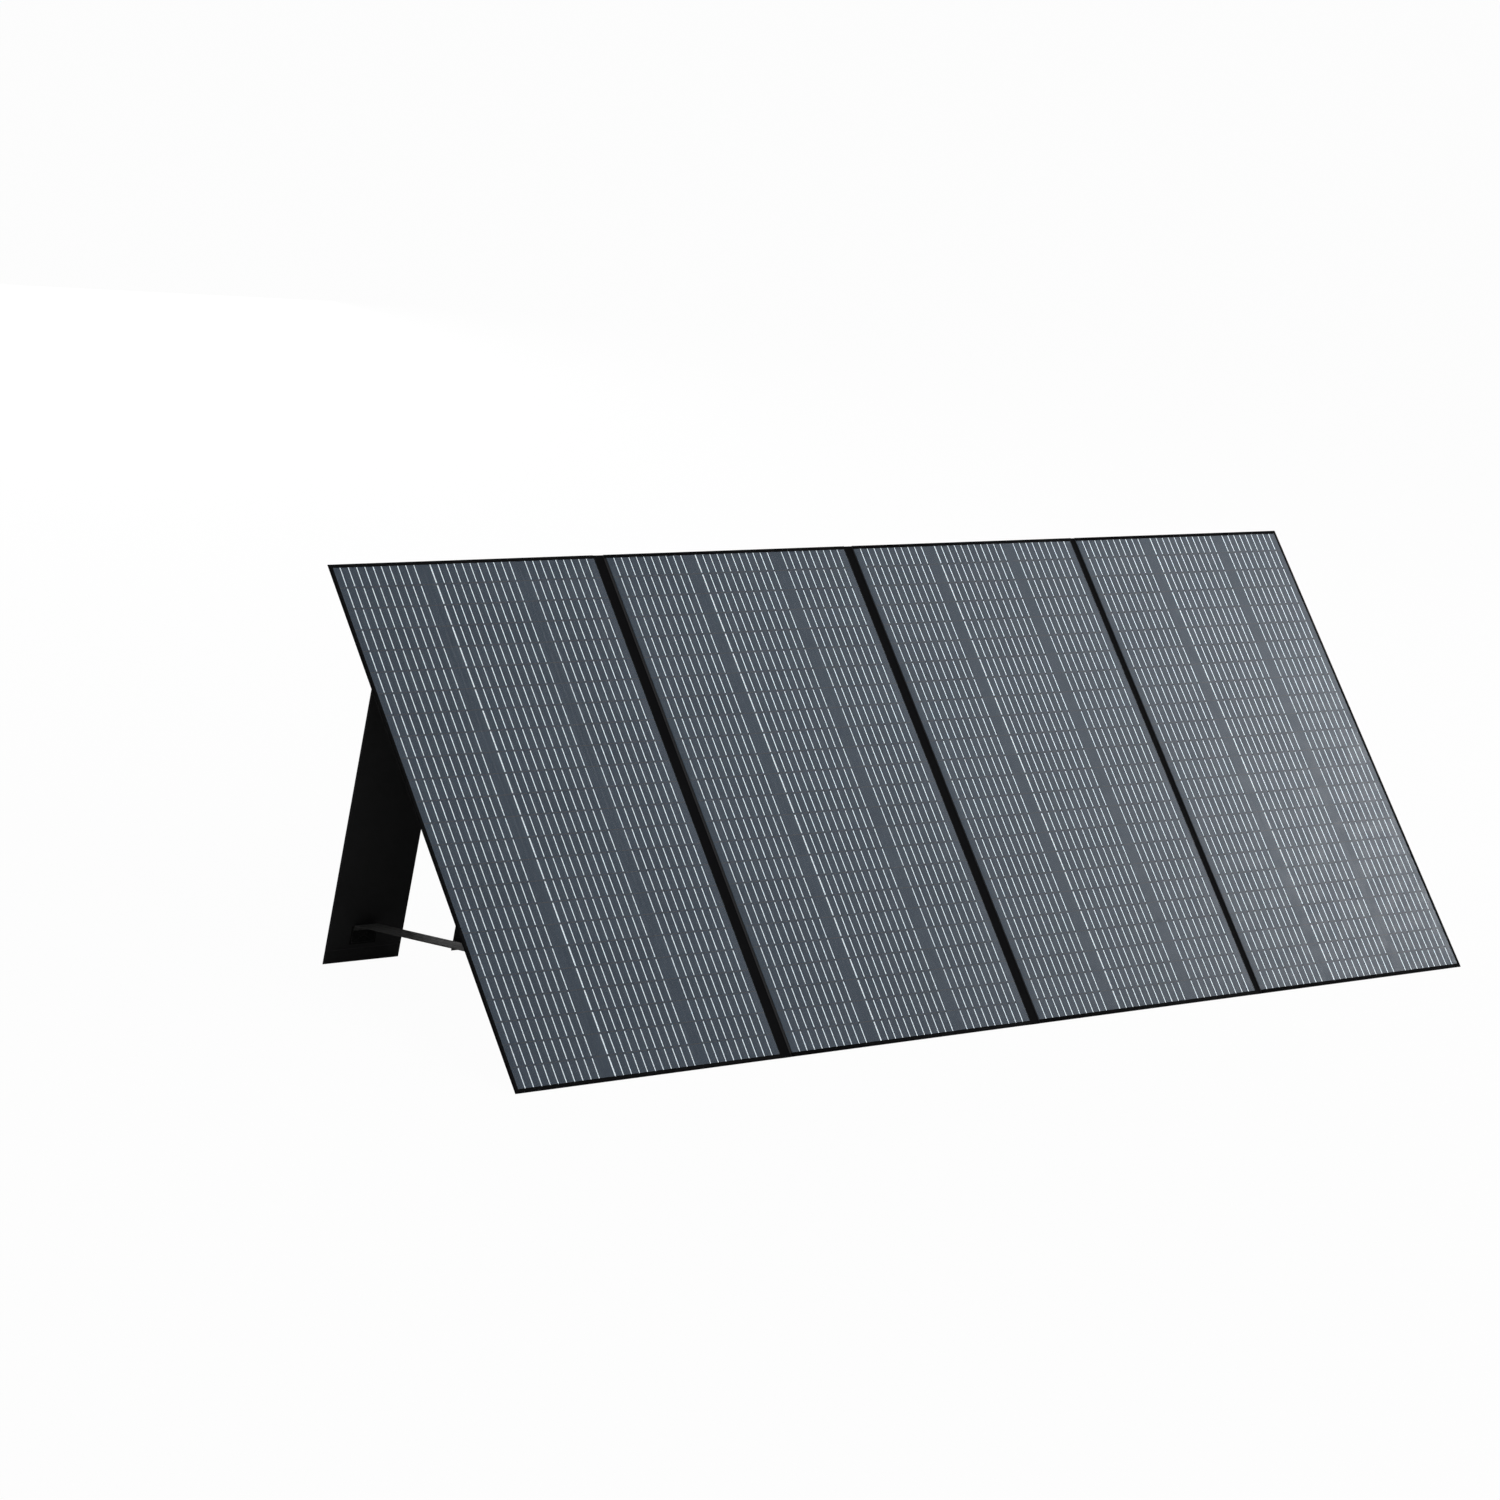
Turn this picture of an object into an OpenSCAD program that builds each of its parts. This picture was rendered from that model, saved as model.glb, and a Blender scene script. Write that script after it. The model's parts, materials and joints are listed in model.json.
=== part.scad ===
// Folding solar panel: four cell laminates joined by fabric hinge strips,
// standing open on fabric-covered legs behind its two end laminates.
// Millimetres. +X runs along the row of laminates, to the right as seen from the front.
// +Y points to the rear and +Z up. The origin is on the ground, below the middle of the panel.

/* [Panel] */
// Lean of the panel from the ground, in degrees
tilt = 44; // [40:0.5:50]
// Width of one cell laminate
laminate_w = 580; // [570:1:600]
// Height of one cell laminate, up the slope
laminate_h = 953; // [900:1:1000]
// Width of the bound edge round the outside
edge_w = 5; // [4:0.5:8]

/* [Hinge strips] */
// Gap between laminates 1 and 2
strip_w_1 = 29; // [29:0.5:32]
// Gap between laminates 2 and 3
strip_w_2 = 24.5; // [24:0.5:25]
// Gap between laminates 3 and 4
strip_w_3 = 16.5; // [16:0.5:17]
// Width of each conductor that crosses a hinge strip
jumper_w = 30; // [10:1:60]

/* [Layers] */
// Thickness of the rear cover and hinge fabric
fabric_t = 0.8; // [0.6:0.1:0.8]
// Thickness of a laminate's stiff backing board
board_t = 1.2; // [1:0.1:1.2]
// Thickness of the solar cells
cell_t = 0.2; // [0.15:0.05:0.2]
// Thickness of the ribbons on the cells
ribbon_t = 0.1; // [0.05:0.05:0.1]
// Thickness of the clear front film
film_t = 0.4; // [0.2:0.1:0.4]

/* [Cells] */
// Rows of cells in a laminate
cell_rows = 24; // [12:1:36]
// Width of one ribbon
ribbon_w = 3; // [1:0.5:4]
// Gap between two rows of cells
row_gap = 1; // [0.5:0.1:2]

/* [Legs] */
// Width of a leg
leg_w = 163; // [120:1:180]
// Thickness of a covered leg
leg_t = 2.6; // [2.4:0.1:2.8]
// Height of the legs' hinge line, up the slope from the bottom edge
leg_hinge_h = 787; // [750:1:800]
// Distance from the panel's side edge to the outer leg
leg_inset = 37; // [25:1:45]
// Distance between the two legs of a pair, left edge to left edge
leg_pitch = 281; // [220:1:300]

/* [Straps] */
// Width of the strap webbing
strap_w = 48; // [25:1:50]
// Thickness of the strap webbing
strap_t = 1.4; // [1:0.1:2]
// Height of the strap's end on the leg, above the ground
strap_low_h = 67; // [66:1:90]
// Height of the strap's upper end, up the slope from the bottom edge
strap_high_h = 226; // [200:1:228]

/* [Rear hardware] */
// Width of the junction box
box_w = 116; // [100:1:130]
// Height of the junction box
box_h = 74; // [60:1:90]
// Depth of the junction box without its lid
box_d = 18; // [18:1:24]
// Diameter of an output lead
lead_d = 6; // [5:0.1:6.5]
// Length of each output lead between the box and its connector
lead_l = 190; // [120:5:230]
// Width of the cable pocket
pocket_w = 240; // [235:1:250]
// Height of the cable pocket
pocket_h = 220; // [180:1:240]
// Depth of the cable pocket
pocket_d = 30; // [20:1:40]
// Width of a carry handle
handle_w = 190; // [160:1:220]

/* [Hidden] */
$fn = 48;

// Overall sizes. The edge binding is symmetric about the middle of the fabric (z = 0 on the slope).
strip_w = [strip_w_1, strip_w_2, strip_w_3];
panel_h = laminate_h + 2 * edge_w;
panel_w = 4 * laminate_w + strip_w_1 + strip_w_2 + strip_w_3 + 2 * edge_w;
binding_wall = 0.55;
binding_half_t = 1;
layer_gap = 0.05;
rear_z = -fabric_t / 2 - layer_gap;

// Fold lines: distance from the laminate on the left and on the right of each strip.
// They are uneven so that the folded laminates and strips nest inside one another.
fold_near = [0.6, 3.5, 5.6];
fold_far = [4.3, 1, 0.6];
fold_clear = 0.5;

// Front layers, from the fabric outwards
board_z = fabric_t / 2 + layer_gap;
cell_z = board_z + board_t + layer_gap;
ribbon_z = cell_z + cell_t + layer_gap;
film_z = ribbon_z + ribbon_t + layer_gap;

// Ribbons lie on an even pitch. Two pitches stay empty, where one string of cells ends.
ribbon_pitches = 33;
string_ends = [11, 23];
ribbon_pitch = laminate_w / ribbon_pitches;
row_pitch = laminate_h / cell_rows;
string_gap = 0.2;

jumper_t = 0.3;
jumper_heights = [0.2, 0.8];
jumper_clear = 0.05;

// Legs: upright when open, so their angle to the slope is 90 - tilt.
leg_rest_gap = 1.2;
leg_top_gap = 4;
leg_axis_z = rear_z - leg_rest_gap + layer_gap;
leg_axis = slope_point(leg_hinge_h, leg_axis_z);
leg_h = leg_axis[1] - leg_top_gap;
sleeve_wall = 0.5;
sleeve_hem = 3;
patch_size = [55, 0.8, 33];
patch_low = 32;
strap_offset = -5;
strap_end_gap = 1.2;
tape_h = 25;
tape_t = 0.6;
tape_gap = 2;
anchor_size = [55, 33, 0.8];
anchor_gap = 2;

// Junction box, seen from the rear
box_x = laminate_x(2) + laminate_w / 2;
box_y = 770;
box_wall = 2;
box_corner = 8;
lid_t = 2.5;
lid_lip = 1.5;
fit_gap = 0.1;
lead_spacing = 26;
gland_r = 6;
gland_l = 10;
bore_gap = 0.05;
diode_d = 5.4;
diode_l = 12;
diode_pitch = 26;

// Output leads: straight down from the box to the connectors
lead_r = lead_d / 2;
lead_z = 9.75;
lead_inside = 18;
lead_top_y = box_y - box_h / 2 + lead_inside;
lead_end_y = box_y - box_h / 2 - gland_l - lead_l;

// Connectors
nut_r = 9.5;
nut_l = 14;
flutes = 12;
flute_r = 1.2;
seat_l = 12;
plug_body_r = 7.5;
plug_body_l = 26;
nose_r = 6;
nose_l = 16;
socket_body_r = 8.6;
socket_body_l = 30;
socket_bore_r = 6.03;

// Cable pocket
pocket_x = box_x - 160;
pocket_y = 440;
pocket_wall = 2;
pocket_corner = 22;
zip_y = pocket_h / 2 - 34;
zip_l = 206;
zip_gap_w = 3;
slider_size = [12, 9, 4.5];
pull_size = [7, 28, 1.4];

// Carry handles, hinged at their sewn ends just below the top edge
handle_y = 934;
handle_axis_z = 2.2;
handle_t = 2.6;
handle_drop = 62;
handle_strap_w = 28;
handle_corner = 20;
tab_size = [28, 20, 0.7];

// Left edge of laminate i, counted from 1 at the left
function gap_sum(n) = n == 0 ? 0 : strip_w[n - 1] + gap_sum(n - 1);
function laminate_x(i) = -panel_w / 2 + edge_w + (i - 1) * laminate_w + gap_sum(i - 1);
// Fold lines of strip n, on its left and right
function fold_left(n) = laminate_x(n) + laminate_w + fold_near[n - 1];
function fold_right(n) = laminate_x(n + 1) - fold_far[n - 1];
// Sides of the fabric that belongs to laminate i
function cover_left(i) = i == 1 ? -panel_w / 2 : fold_right(i - 1) + fold_clear;
function cover_right(i) = i == 4 ? panel_w / 2 : fold_left(i) - fold_clear;
// Y and Z in the world of a point on the slope, y up the slope and z out of its front
function slope_point(y, z) = [
    -panel_h * cos(tilt) / 2 + y * cos(tilt) - z * sin(tilt),
    binding_half_t * cos(tilt) + y * sin(tilt) + z * cos(tilt)
];
// Left edge of leg k. Legs 1 and 2 stand behind laminate 1, legs 3 and 4 behind laminate 4.
function leg_x(k) = k <= 2
    ? -panel_w / 2 + leg_inset + (k - 1) * leg_pitch
    : panel_w / 2 - leg_inset - (4 - k) * leg_pitch - leg_w;
function legs_of(i) = i == 1 ? [1, 2] : [3, 4];

// Places its children on the slope: x along the row, y up the slope, z out of the front
module on_slope() {
    at = slope_point(0, 0);
    translate([0, at[0], at[1]])
        rotate([tilt, 0, 0])
            children();
}

// Places its children on the rear cover at (x, y), with z away from the panel
module on_rear(x, y) {
    on_slope()
        translate([x, y, rear_z])
            mirror([0, 0, 1])
                children();
}

// Places its children at leg k's lower front left corner, with the leg upright
module on_leg(k) {
    translate([leg_x(k), leg_axis[0], 0])
        children();
}

module slab(x, y, z) {
    translate([x[0], y[0], z[0]])
        cube([x[1] - x[0], y[1] - y[0], z[1] - z[0]]);
}

// Rounded rectangle centred on the origin
module rounded_rect(w, h, r) {
    square([w - 2 * r, h], center = true);
    square([w, h - 2 * r], center = true);
    for (sx = [-1, 1], sy = [-1, 1])
        translate([sx * (w / 2 - r), sy * (h / 2 - r)])
            circle(r);
}

// Full-size sheet of a laminate layer, from z upwards
module laminate_sheet(i, z, t) {
    on_slope()
        slab([laminate_x(i), laminate_x(i) + laminate_w], [edge_w, panel_h - edge_w], [z, z + t]);
}

module front_film(i) {
    color([0.36, 0.40, 0.45])
        laminate_sheet(i, film_z, film_t);
}

module ribbons(i) {
    color("lightsteelblue")
        on_slope()
            for (k = [1 : ribbon_pitches - 1])
                if (k != string_ends[0] && k != string_ends[1])
                    translate([laminate_x(i) + k * ribbon_pitch - ribbon_w / 2, edge_w + row_gap, ribbon_z])
                        cube([ribbon_w, laminate_h - 2 * row_gap, ribbon_t]);
}

module cells(i) {
    edges = [0, string_ends[0], string_ends[1], ribbon_pitches];
    color([0.16, 0.19, 0.24])
        on_slope()
            for (s = [0 : 2], row = [0 : cell_rows - 1])
                translate([
                    laminate_x(i) + edges[s] * ribbon_pitch + string_gap / 2,
                    edge_w + row * row_pitch + row_gap / 2,
                    cell_z
                ])
                    cube([
                        (edges[s + 1] - edges[s]) * ribbon_pitch - string_gap,
                        row_pitch - row_gap,
                        cell_t
                    ]);
}

module backing_board(i) {
    color("dimgray")
        laminate_sheet(i, board_z, board_t);
}

module rear_cover(i) {
    inset = binding_wall + layer_gap;
    left = cover_left(i) + (i == 1 ? inset : 0);
    right = cover_right(i) - (i == 4 ? inset : 0);
    color([0.1, 0.1, 0.11])
        on_slope()
            slab([left, right], [inset, panel_h - inset], [-fabric_t / 2, fabric_t / 2]);
}

// Tape folded over the outer edges of laminate i, with the cover's edge held in its slot
module edge_binding(i) {
    past = 1;
    flange = edge_w - 2 * layer_gap;
    slot_half_t = fabric_t / 2 + layer_gap;
    left = cover_left(i);
    right = cover_right(i);
    color([0.07, 0.07, 0.08])
        on_slope()
            difference() {
                slab([left, right], [0, panel_h], [-binding_half_t, binding_half_t]);
                slab(
                    [i == 1 ? left + flange : left - past, i == 4 ? right - flange : right + past],
                    [flange, panel_h - flange],
                    [-binding_half_t - past, binding_half_t + past]
                );
                slab(
                    [i == 1 ? left + binding_wall : left - past, i == 4 ? right - binding_wall : right + past],
                    [binding_wall, panel_h - binding_wall],
                    [-slot_half_t, slot_half_t]
                );
            }
}

// Fabric strip between fold lines, open from side to side where the conductors cross it
module hinge_strip(n) {
    past = 1;
    half_w = jumper_w / 2 + jumper_clear;
    half_t = jumper_t / 2 + jumper_clear;
    left = fold_left(n) + fold_clear;
    right = fold_right(n) - fold_clear;
    color([0.08, 0.08, 0.09])
        on_slope()
            difference() {
                slab([left, right], [0, panel_h], [-fabric_t / 2, fabric_t / 2]);
                for (h = jumper_heights)
                    slab(
                        [left - past, right + past],
                        [h * panel_h - half_w, h * panel_h + half_w],
                        [-half_t, half_t]
                    );
            }
}

module hinge_jumpers(n) {
    color("peru")
        on_slope()
            for (h = jumper_heights)
                slab(
                    [fold_left(n) + fold_clear, fold_right(n) - fold_clear],
                    [h * panel_h - jumper_w / 2, h * panel_h + jumper_w / 2],
                    [-jumper_t / 2, jumper_t / 2]
                );
}

module leg_board(k) {
    gap = layer_gap;
    color("saddlebrown")
        on_leg(k)
            slab(
                [sleeve_hem + gap, leg_w - sleeve_hem - gap],
                [sleeve_wall + gap, leg_t - sleeve_wall - gap],
                [sleeve_hem + gap, leg_h - sleeve_hem]
            );
}

// Fabric sleeve, open at its top end
module leg_sleeve(k) {
    color([0.06, 0.06, 0.07])
        on_leg(k)
            difference() {
                cube([leg_w, leg_t, leg_h]);
                translate([sleeve_hem, sleeve_wall, sleeve_hem])
                    cube([leg_w - 2 * sleeve_hem, leg_t - 2 * sleeve_wall, leg_h]);
            }
}

module leg_patch(k) {
    color([0.03, 0.03, 0.03])
        on_leg(k)
            translate([(leg_w - patch_size[0]) / 2 + strap_offset, -patch_size[1] - layer_gap, patch_low])
                cube(patch_size);
}

// Tapes sewn to the rear cover just above each leg's hinge line
module leg_tapes(i) {
    color([0.12, 0.12, 0.13])
        for (k = legs_of(i))
            on_rear(leg_x(k), leg_hinge_h + tape_gap)
                cube([leg_w, tape_h, tape_t]);
}

// Taut webbing from each leg's patch up to its anchor on the rear cover
module leg_straps(i) {
    low = [leg_axis[0], strap_low_h];
    high = slope_point(strap_high_h, rear_z);
    run = high - low;
    color([0.22, 0.22, 0.22])
        for (k = legs_of(i))
            translate([leg_x(k) + leg_w / 2 + strap_offset, low[0], low[1]])
                rotate([atan2(run[1], run[0]), 0, 0])
                    translate([-strap_w / 2, strap_end_gap, -strap_t / 2])
                        cube([strap_w, norm(run) - 2 * strap_end_gap, strap_t]);
}

// Sewn end of each strap, flat on the rear cover just below where the strap leaves it
module strap_anchors(i) {
    left = (leg_w - anchor_size[0]) / 2 + strap_offset;
    color([0.15, 0.15, 0.15])
        for (k = legs_of(i))
            on_rear(leg_x(k) + left, strap_high_h - anchor_size[1] - anchor_gap)
                cube(anchor_size);
}

// Open tray with a gland for each lead in its lower wall
module junction_box() {
    color([0.09, 0.09, 0.1])
        on_rear(box_x, box_y)
            difference() {
                union() {
                    linear_extrude(box_d)
                        rounded_rect(box_w, box_h, box_corner);
                    for (s = [-1, 1])
                        translate([s * lead_spacing / 2, -box_h / 2 + box_wall / 2, lead_z])
                            rotate([90, 0, 0])
                                cylinder(r = gland_r, h = gland_l + box_wall / 2);
                }
                translate([0, 0, box_wall])
                    linear_extrude(box_d)
                        rounded_rect(box_w - 2 * box_wall, box_h - 2 * box_wall, box_corner - box_wall);
                for (s = [-1, 1])
                    translate([s * lead_spacing / 2, -box_h / 2 + 2 * box_wall, lead_z])
                        rotate([90, 0, 0])
                            cylinder(r = lead_r + bore_gap, h = gland_l + 3 * box_wall);
            }
}

module junction_lid() {
    inner = box_wall + fit_gap;
    color([0.11, 0.11, 0.12])
        on_rear(box_x, box_y)
            translate([0, 0, box_d + layer_gap]) {
                linear_extrude(lid_t)
                    rounded_rect(box_w, box_h, box_corner);
                translate([0, 0, -lid_lip])
                    linear_extrude(lid_lip + lid_t / 2)
                        rounded_rect(box_w - 2 * inner, box_h - 2 * inner, box_corner - inner);
            }
}

module bypass_diodes() {
    color("black")
        on_rear(box_x, box_y)
            for (s = [-1 : 1])
                translate([s * diode_pitch - diode_l / 2, box_h / 4, box_wall + layer_gap + diode_d / 2])
                    rotate([0, 90, 0])
                        cylinder(d = diode_d, h = diode_l);
}

module output_leads() {
    color([0.05, 0.05, 0.05])
        for (s = [-1, 1])
            on_rear(box_x + s * lead_spacing / 2, lead_top_y)
                translate([0, 0, lead_z])
                    rotate([90, 0, 0])
                        cylinder(r = lead_r, h = lead_top_y - lead_end_y);
}

// Places its children at a lead's end, with z pointing down the slope
module on_lead_end(side) {
    on_rear(box_x + side * lead_spacing / 2, lead_end_y + seat_l - 2 * layer_gap)
        translate([0, 0, lead_z])
            rotate([90, 0, 0])
                children();
}

// Fluted gland nut at the cable end of a connector
module gland_nut() {
    difference() {
        cylinder(r = nut_r, h = nut_l);
        for (a = [0 : flutes - 1])
            rotate([0, 0, a * 360 / flutes])
                translate([nut_r, 0, -1])
                    cylinder(r = flute_r, h = nut_l + 2, $fn = 24);
    }
}

module plug_connector() {
    color([0.06, 0.06, 0.06])
        on_lead_end(-1)
            difference() {
                union() {
                    gland_nut();
                    cylinder(r = plug_body_r, h = nut_l + plug_body_l);
                    cylinder(r = nose_r, h = nut_l + plug_body_l + nose_l);
                }
                translate([0, 0, -1])
                    cylinder(r = lead_r + bore_gap, h = seat_l + 1);
            }
}

module socket_connector() {
    color([0.06, 0.06, 0.06])
        on_lead_end(1)
            difference() {
                union() {
                    gland_nut();
                    cylinder(r = socket_body_r, h = nut_l + socket_body_l);
                }
                translate([0, 0, -1])
                    cylinder(r = lead_r + bore_gap, h = seat_l + 1);
                translate([0, 0, nut_l + socket_body_l - nose_l])
                    cylinder(r = socket_bore_r, h = nose_l + 1);
            }
}

// Pouch for the leads, with its zip opening across the upper part of its rear face
module cable_pocket() {
    wall = pocket_wall;
    color([0.08, 0.08, 0.09])
        on_rear(pocket_x, pocket_y)
            difference() {
                linear_extrude(pocket_d)
                    rounded_rect(pocket_w, pocket_h, pocket_corner);
                translate([0, 0, wall])
                    linear_extrude(pocket_d - 2 * wall)
                        rounded_rect(pocket_w - 2 * wall, pocket_h - 2 * wall, pocket_corner - wall);
                translate([-zip_l / 2, zip_y - zip_gap_w / 2, pocket_d - 2 * wall])
                    cube([zip_l, zip_gap_w, 3 * wall]);
            }
}

module zip_slider() {
    start_x = -zip_l / 2 + slider_size[0];
    color("gray")
        on_rear(pocket_x + start_x, pocket_y + zip_y)
            translate([0, 0, pocket_d + fit_gap]) {
                translate([-slider_size[0] / 2, -slider_size[1] / 2, 0])
                    cube(slider_size);
                translate([-pull_size[0] / 2, -pull_size[1], slider_size[2] - pull_size[2]])
                    cube(pull_size);
            }
}

// Flat webbing loop of the handle on laminate i, hanging down from its hinge line
module handle(i) {
    start = 2;
    inner_w = handle_w - 2 * handle_strap_w;
    color([0.1, 0.1, 0.1])
        on_rear(laminate_x(i) + laminate_w / 2, handle_y)
            translate([0, 0, handle_axis_z - handle_t / 2])
                linear_extrude(handle_t)
                    difference() {
                        translate([0, -handle_drop / 2])
                            rounded_rect(handle_w, handle_drop, handle_corner);
                        translate([0, handle_strap_w / 2 - handle_drop / 2 + handle_drop / 4])
                            square([inner_w, handle_drop * 3 / 2 - handle_strap_w], center = true);
                        translate([-handle_w, -start])
                            square([2 * handle_w, handle_drop]);
                    }
}

module handle_tabs(i) {
    reach = (handle_w - handle_strap_w) / 2;
    color([0.14, 0.14, 0.14])
        for (s = [-1, 1])
            on_rear(laminate_x(i) + laminate_w / 2 + s * reach - tab_size[0] / 2, handle_y + 1)
                cube(tab_size);
}

front_film(1);  // front_film_1
front_film(2);  // front_film_2
front_film(3);  // front_film_3
front_film(4);  // front_film_4
ribbons(1);  // ribbons_1
ribbons(2);  // ribbons_2
ribbons(3);  // ribbons_3
ribbons(4);  // ribbons_4
cells(1);  // cells_1
cells(2);  // cells_2
cells(3);  // cells_3
cells(4);  // cells_4
backing_board(1);  // backing_board_1
backing_board(2);  // backing_board_2
backing_board(3);  // backing_board_3
backing_board(4);  // backing_board_4
rear_cover(1);  // rear_cover_1
rear_cover(2);  // rear_cover_2
rear_cover(3);  // rear_cover_3
rear_cover(4);  // rear_cover_4
edge_binding(1);  // edge_binding_1
edge_binding(2);  // edge_binding_2
edge_binding(3);  // edge_binding_3
edge_binding(4);  // edge_binding_4
hinge_strip(1);  // hinge_strip_1
hinge_strip(2);  // hinge_strip_2
hinge_strip(3);  // hinge_strip_3
hinge_jumpers(1);  // hinge_jumpers_1
hinge_jumpers(2);  // hinge_jumpers_2
hinge_jumpers(3);  // hinge_jumpers_3
leg_board(1);  // leg_board_1
leg_board(2);  // leg_board_2
leg_board(3);  // leg_board_3
leg_board(4);  // leg_board_4
leg_sleeve(1);  // leg_sleeve_1
leg_sleeve(2);  // leg_sleeve_2
leg_sleeve(3);  // leg_sleeve_3
leg_sleeve(4);  // leg_sleeve_4
leg_patch(1);  // leg_patch_1
leg_patch(2);  // leg_patch_2
leg_patch(3);  // leg_patch_3
leg_patch(4);  // leg_patch_4
leg_tapes(1);  // leg_tapes_1
leg_tapes(4);  // leg_tapes_4
leg_straps(1);  // leg_straps_1
leg_straps(4);  // leg_straps_4
strap_anchors(1);  // strap_anchors_1
strap_anchors(4);  // strap_anchors_4
junction_box();
junction_lid();
bypass_diodes();
output_leads();
plug_connector();
socket_connector();
cable_pocket();
zip_slider();
handle(1);  // handle_1
handle(2);  // handle_2
handle_tabs(1);  // handle_tabs_1
handle_tabs(2);  // handle_tabs_2
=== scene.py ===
"""Looks of a folding solar panel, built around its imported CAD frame."""

import json
import math

import bpy
import numpy as np
from mathutils import Matrix, Vector, noise


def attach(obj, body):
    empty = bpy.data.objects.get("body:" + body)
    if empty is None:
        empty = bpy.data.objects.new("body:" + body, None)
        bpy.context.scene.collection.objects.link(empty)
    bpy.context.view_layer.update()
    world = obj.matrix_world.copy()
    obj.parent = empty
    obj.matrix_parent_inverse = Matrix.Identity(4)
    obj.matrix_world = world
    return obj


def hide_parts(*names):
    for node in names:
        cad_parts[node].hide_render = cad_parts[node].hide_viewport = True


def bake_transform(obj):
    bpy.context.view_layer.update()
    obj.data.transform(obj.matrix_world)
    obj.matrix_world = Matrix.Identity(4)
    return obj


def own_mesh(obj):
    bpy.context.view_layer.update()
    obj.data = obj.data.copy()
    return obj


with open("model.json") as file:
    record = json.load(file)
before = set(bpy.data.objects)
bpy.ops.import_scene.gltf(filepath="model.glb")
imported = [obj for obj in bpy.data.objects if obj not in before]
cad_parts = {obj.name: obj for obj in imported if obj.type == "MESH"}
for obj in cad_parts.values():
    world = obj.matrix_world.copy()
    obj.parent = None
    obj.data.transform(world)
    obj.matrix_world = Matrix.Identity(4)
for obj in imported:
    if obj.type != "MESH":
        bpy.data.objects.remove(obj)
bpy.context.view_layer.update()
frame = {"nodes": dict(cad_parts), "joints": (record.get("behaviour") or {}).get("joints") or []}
MM = 0.001


# ---------------------------------------------------------------- places


def joint(name):
    return next(j for j in frame["joints"] if j["name"] == name)


def joint_at(name):
    return Vector(joint(name)["pos_m"])


RIGHT = Vector((1, 0, 0))
FORWARDS = Vector((0, 0, 1))
BACKWARDS = Vector((0, 0, -1))
UP = -Vector(joint("fold_1")["axis"])
OUT = RIGHT.cross(UP)
TILT = math.atan2(UP.z, UP.y)


def axes(x, y, z, origin):
    """A matrix whose columns are three directions and a place."""
    made = Matrix((x, y, z)).transposed().to_4x4()
    made.translation = origin
    return made


def local_box(node, place, between=None):
    """Lowest and highest corner of a CAD node in a local frame, of its solids between two x."""
    mesh = frame["nodes"][node].data
    points = np.ones((len(mesh.vertices), 4))
    flat = np.zeros(len(mesh.vertices) * 3)
    mesh.vertices.foreach_get("co", flat)
    points[:, :3] = flat.reshape(-1, 3)
    points = (points @ np.array(place.inverted()).T)[:, :3]
    if between:
        points = points[(points[:, 0] > between[0]) & (points[:, 0] < between[1])]
    return Vector(points.min(0)), Vector(points.max(0))


# Slope frame: x to the right, y up the slope from the bottom edge, z out of the front face.
MIDDLE = joint_at("strip_1_bend")
MIDDLE.x = 0
SLOPE = axes(RIGHT, UP, OUT, MIDDLE)
SLOPE.translation = SLOPE @ Vector((0, local_box("edge_binding_1", SLOPE)[0].y, 0))
# Upright frame of the legs: x to the right, y up, z forwards.
UPRIGHT = axes(RIGHT, Vector((0, 0, 1)), Vector((0, -1, 0)), Vector((0, 0, 0)))

HEIGHT = local_box("edge_binding_1", SLOPE)[1].y
LAMINATES = (1, 2, 3, 4)
HINGES = (1, 2, 3)
LEG_PANEL = {1: 1, 2: 1, 3: 4, 4: 4}
LAMINATE = {i: local_box(f"backing_board_{i}", SLOPE) for i in LAMINATES}
LAMINATE_TOP = local_box("front_film_1", SLOPE)[1].z
COVER = {i: local_box(f"rear_cover_{i}", SLOPE) for i in LAMINATES}
FOLD_NEAR = {n: joint_at(f"strip_{n}_bend").x for n in HINGES}
FOLD_FAR = {n: 2 * joint_at(f"fold_{n}").x - FOLD_NEAR[n] for n in HINGES}
FOLD_RELIEF = 0.18 * MM
REAR = COVER[1][0].z


# ---------------------------------------------------------------- materials


def add(tree, kind, settings=None, **inputs):
    made = tree.nodes.new(kind)
    for key, value in (settings or {}).items():
        setattr(made, key, value)
    for key, value in inputs.items():
        put(tree, made.inputs[key.replace("_", " ")], value)
    return made


def put(tree, socket, value):
    if isinstance(value, bpy.types.NodeSocket):
        tree.links.new(value, socket)
    else:
        socket.default_value = value


def calc(tree, operation, *values):
    made = tree.nodes.new("ShaderNodeMath")
    made.operation = operation
    for socket, value in zip(made.inputs, values):
        put(tree, socket, value)
    return made.outputs[0]


def colour_mix(tree, factor, first, second):
    made = tree.nodes.new("ShaderNodeMix")
    made.data_type = "RGBA"
    put(tree, made.inputs[0], factor)
    put(tree, made.inputs[6], first)
    put(tree, made.inputs[7], second)
    return made.outputs[2]


def shader_mix(tree, factor, first, second):
    made = tree.nodes.new("ShaderNodeMixShader")
    for index, value in enumerate((factor, first.outputs[0], second.outputs[0])):
        put(tree, made.inputs[index], value)
    return made


def ramp(tree, value, low, high, to_low=0.0, to_high=1.0):
    made = tree.nodes.new("ShaderNodeMapRange")
    for index, item in enumerate((value, low, high, to_low, to_high)):
        put(tree, made.inputs[index], item)
    return made.outputs[0]


def rgb(*values):
    return (*values, 1.0)


def shade(colour, factor):
    return rgb(*[c * factor for c in colour])


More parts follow.
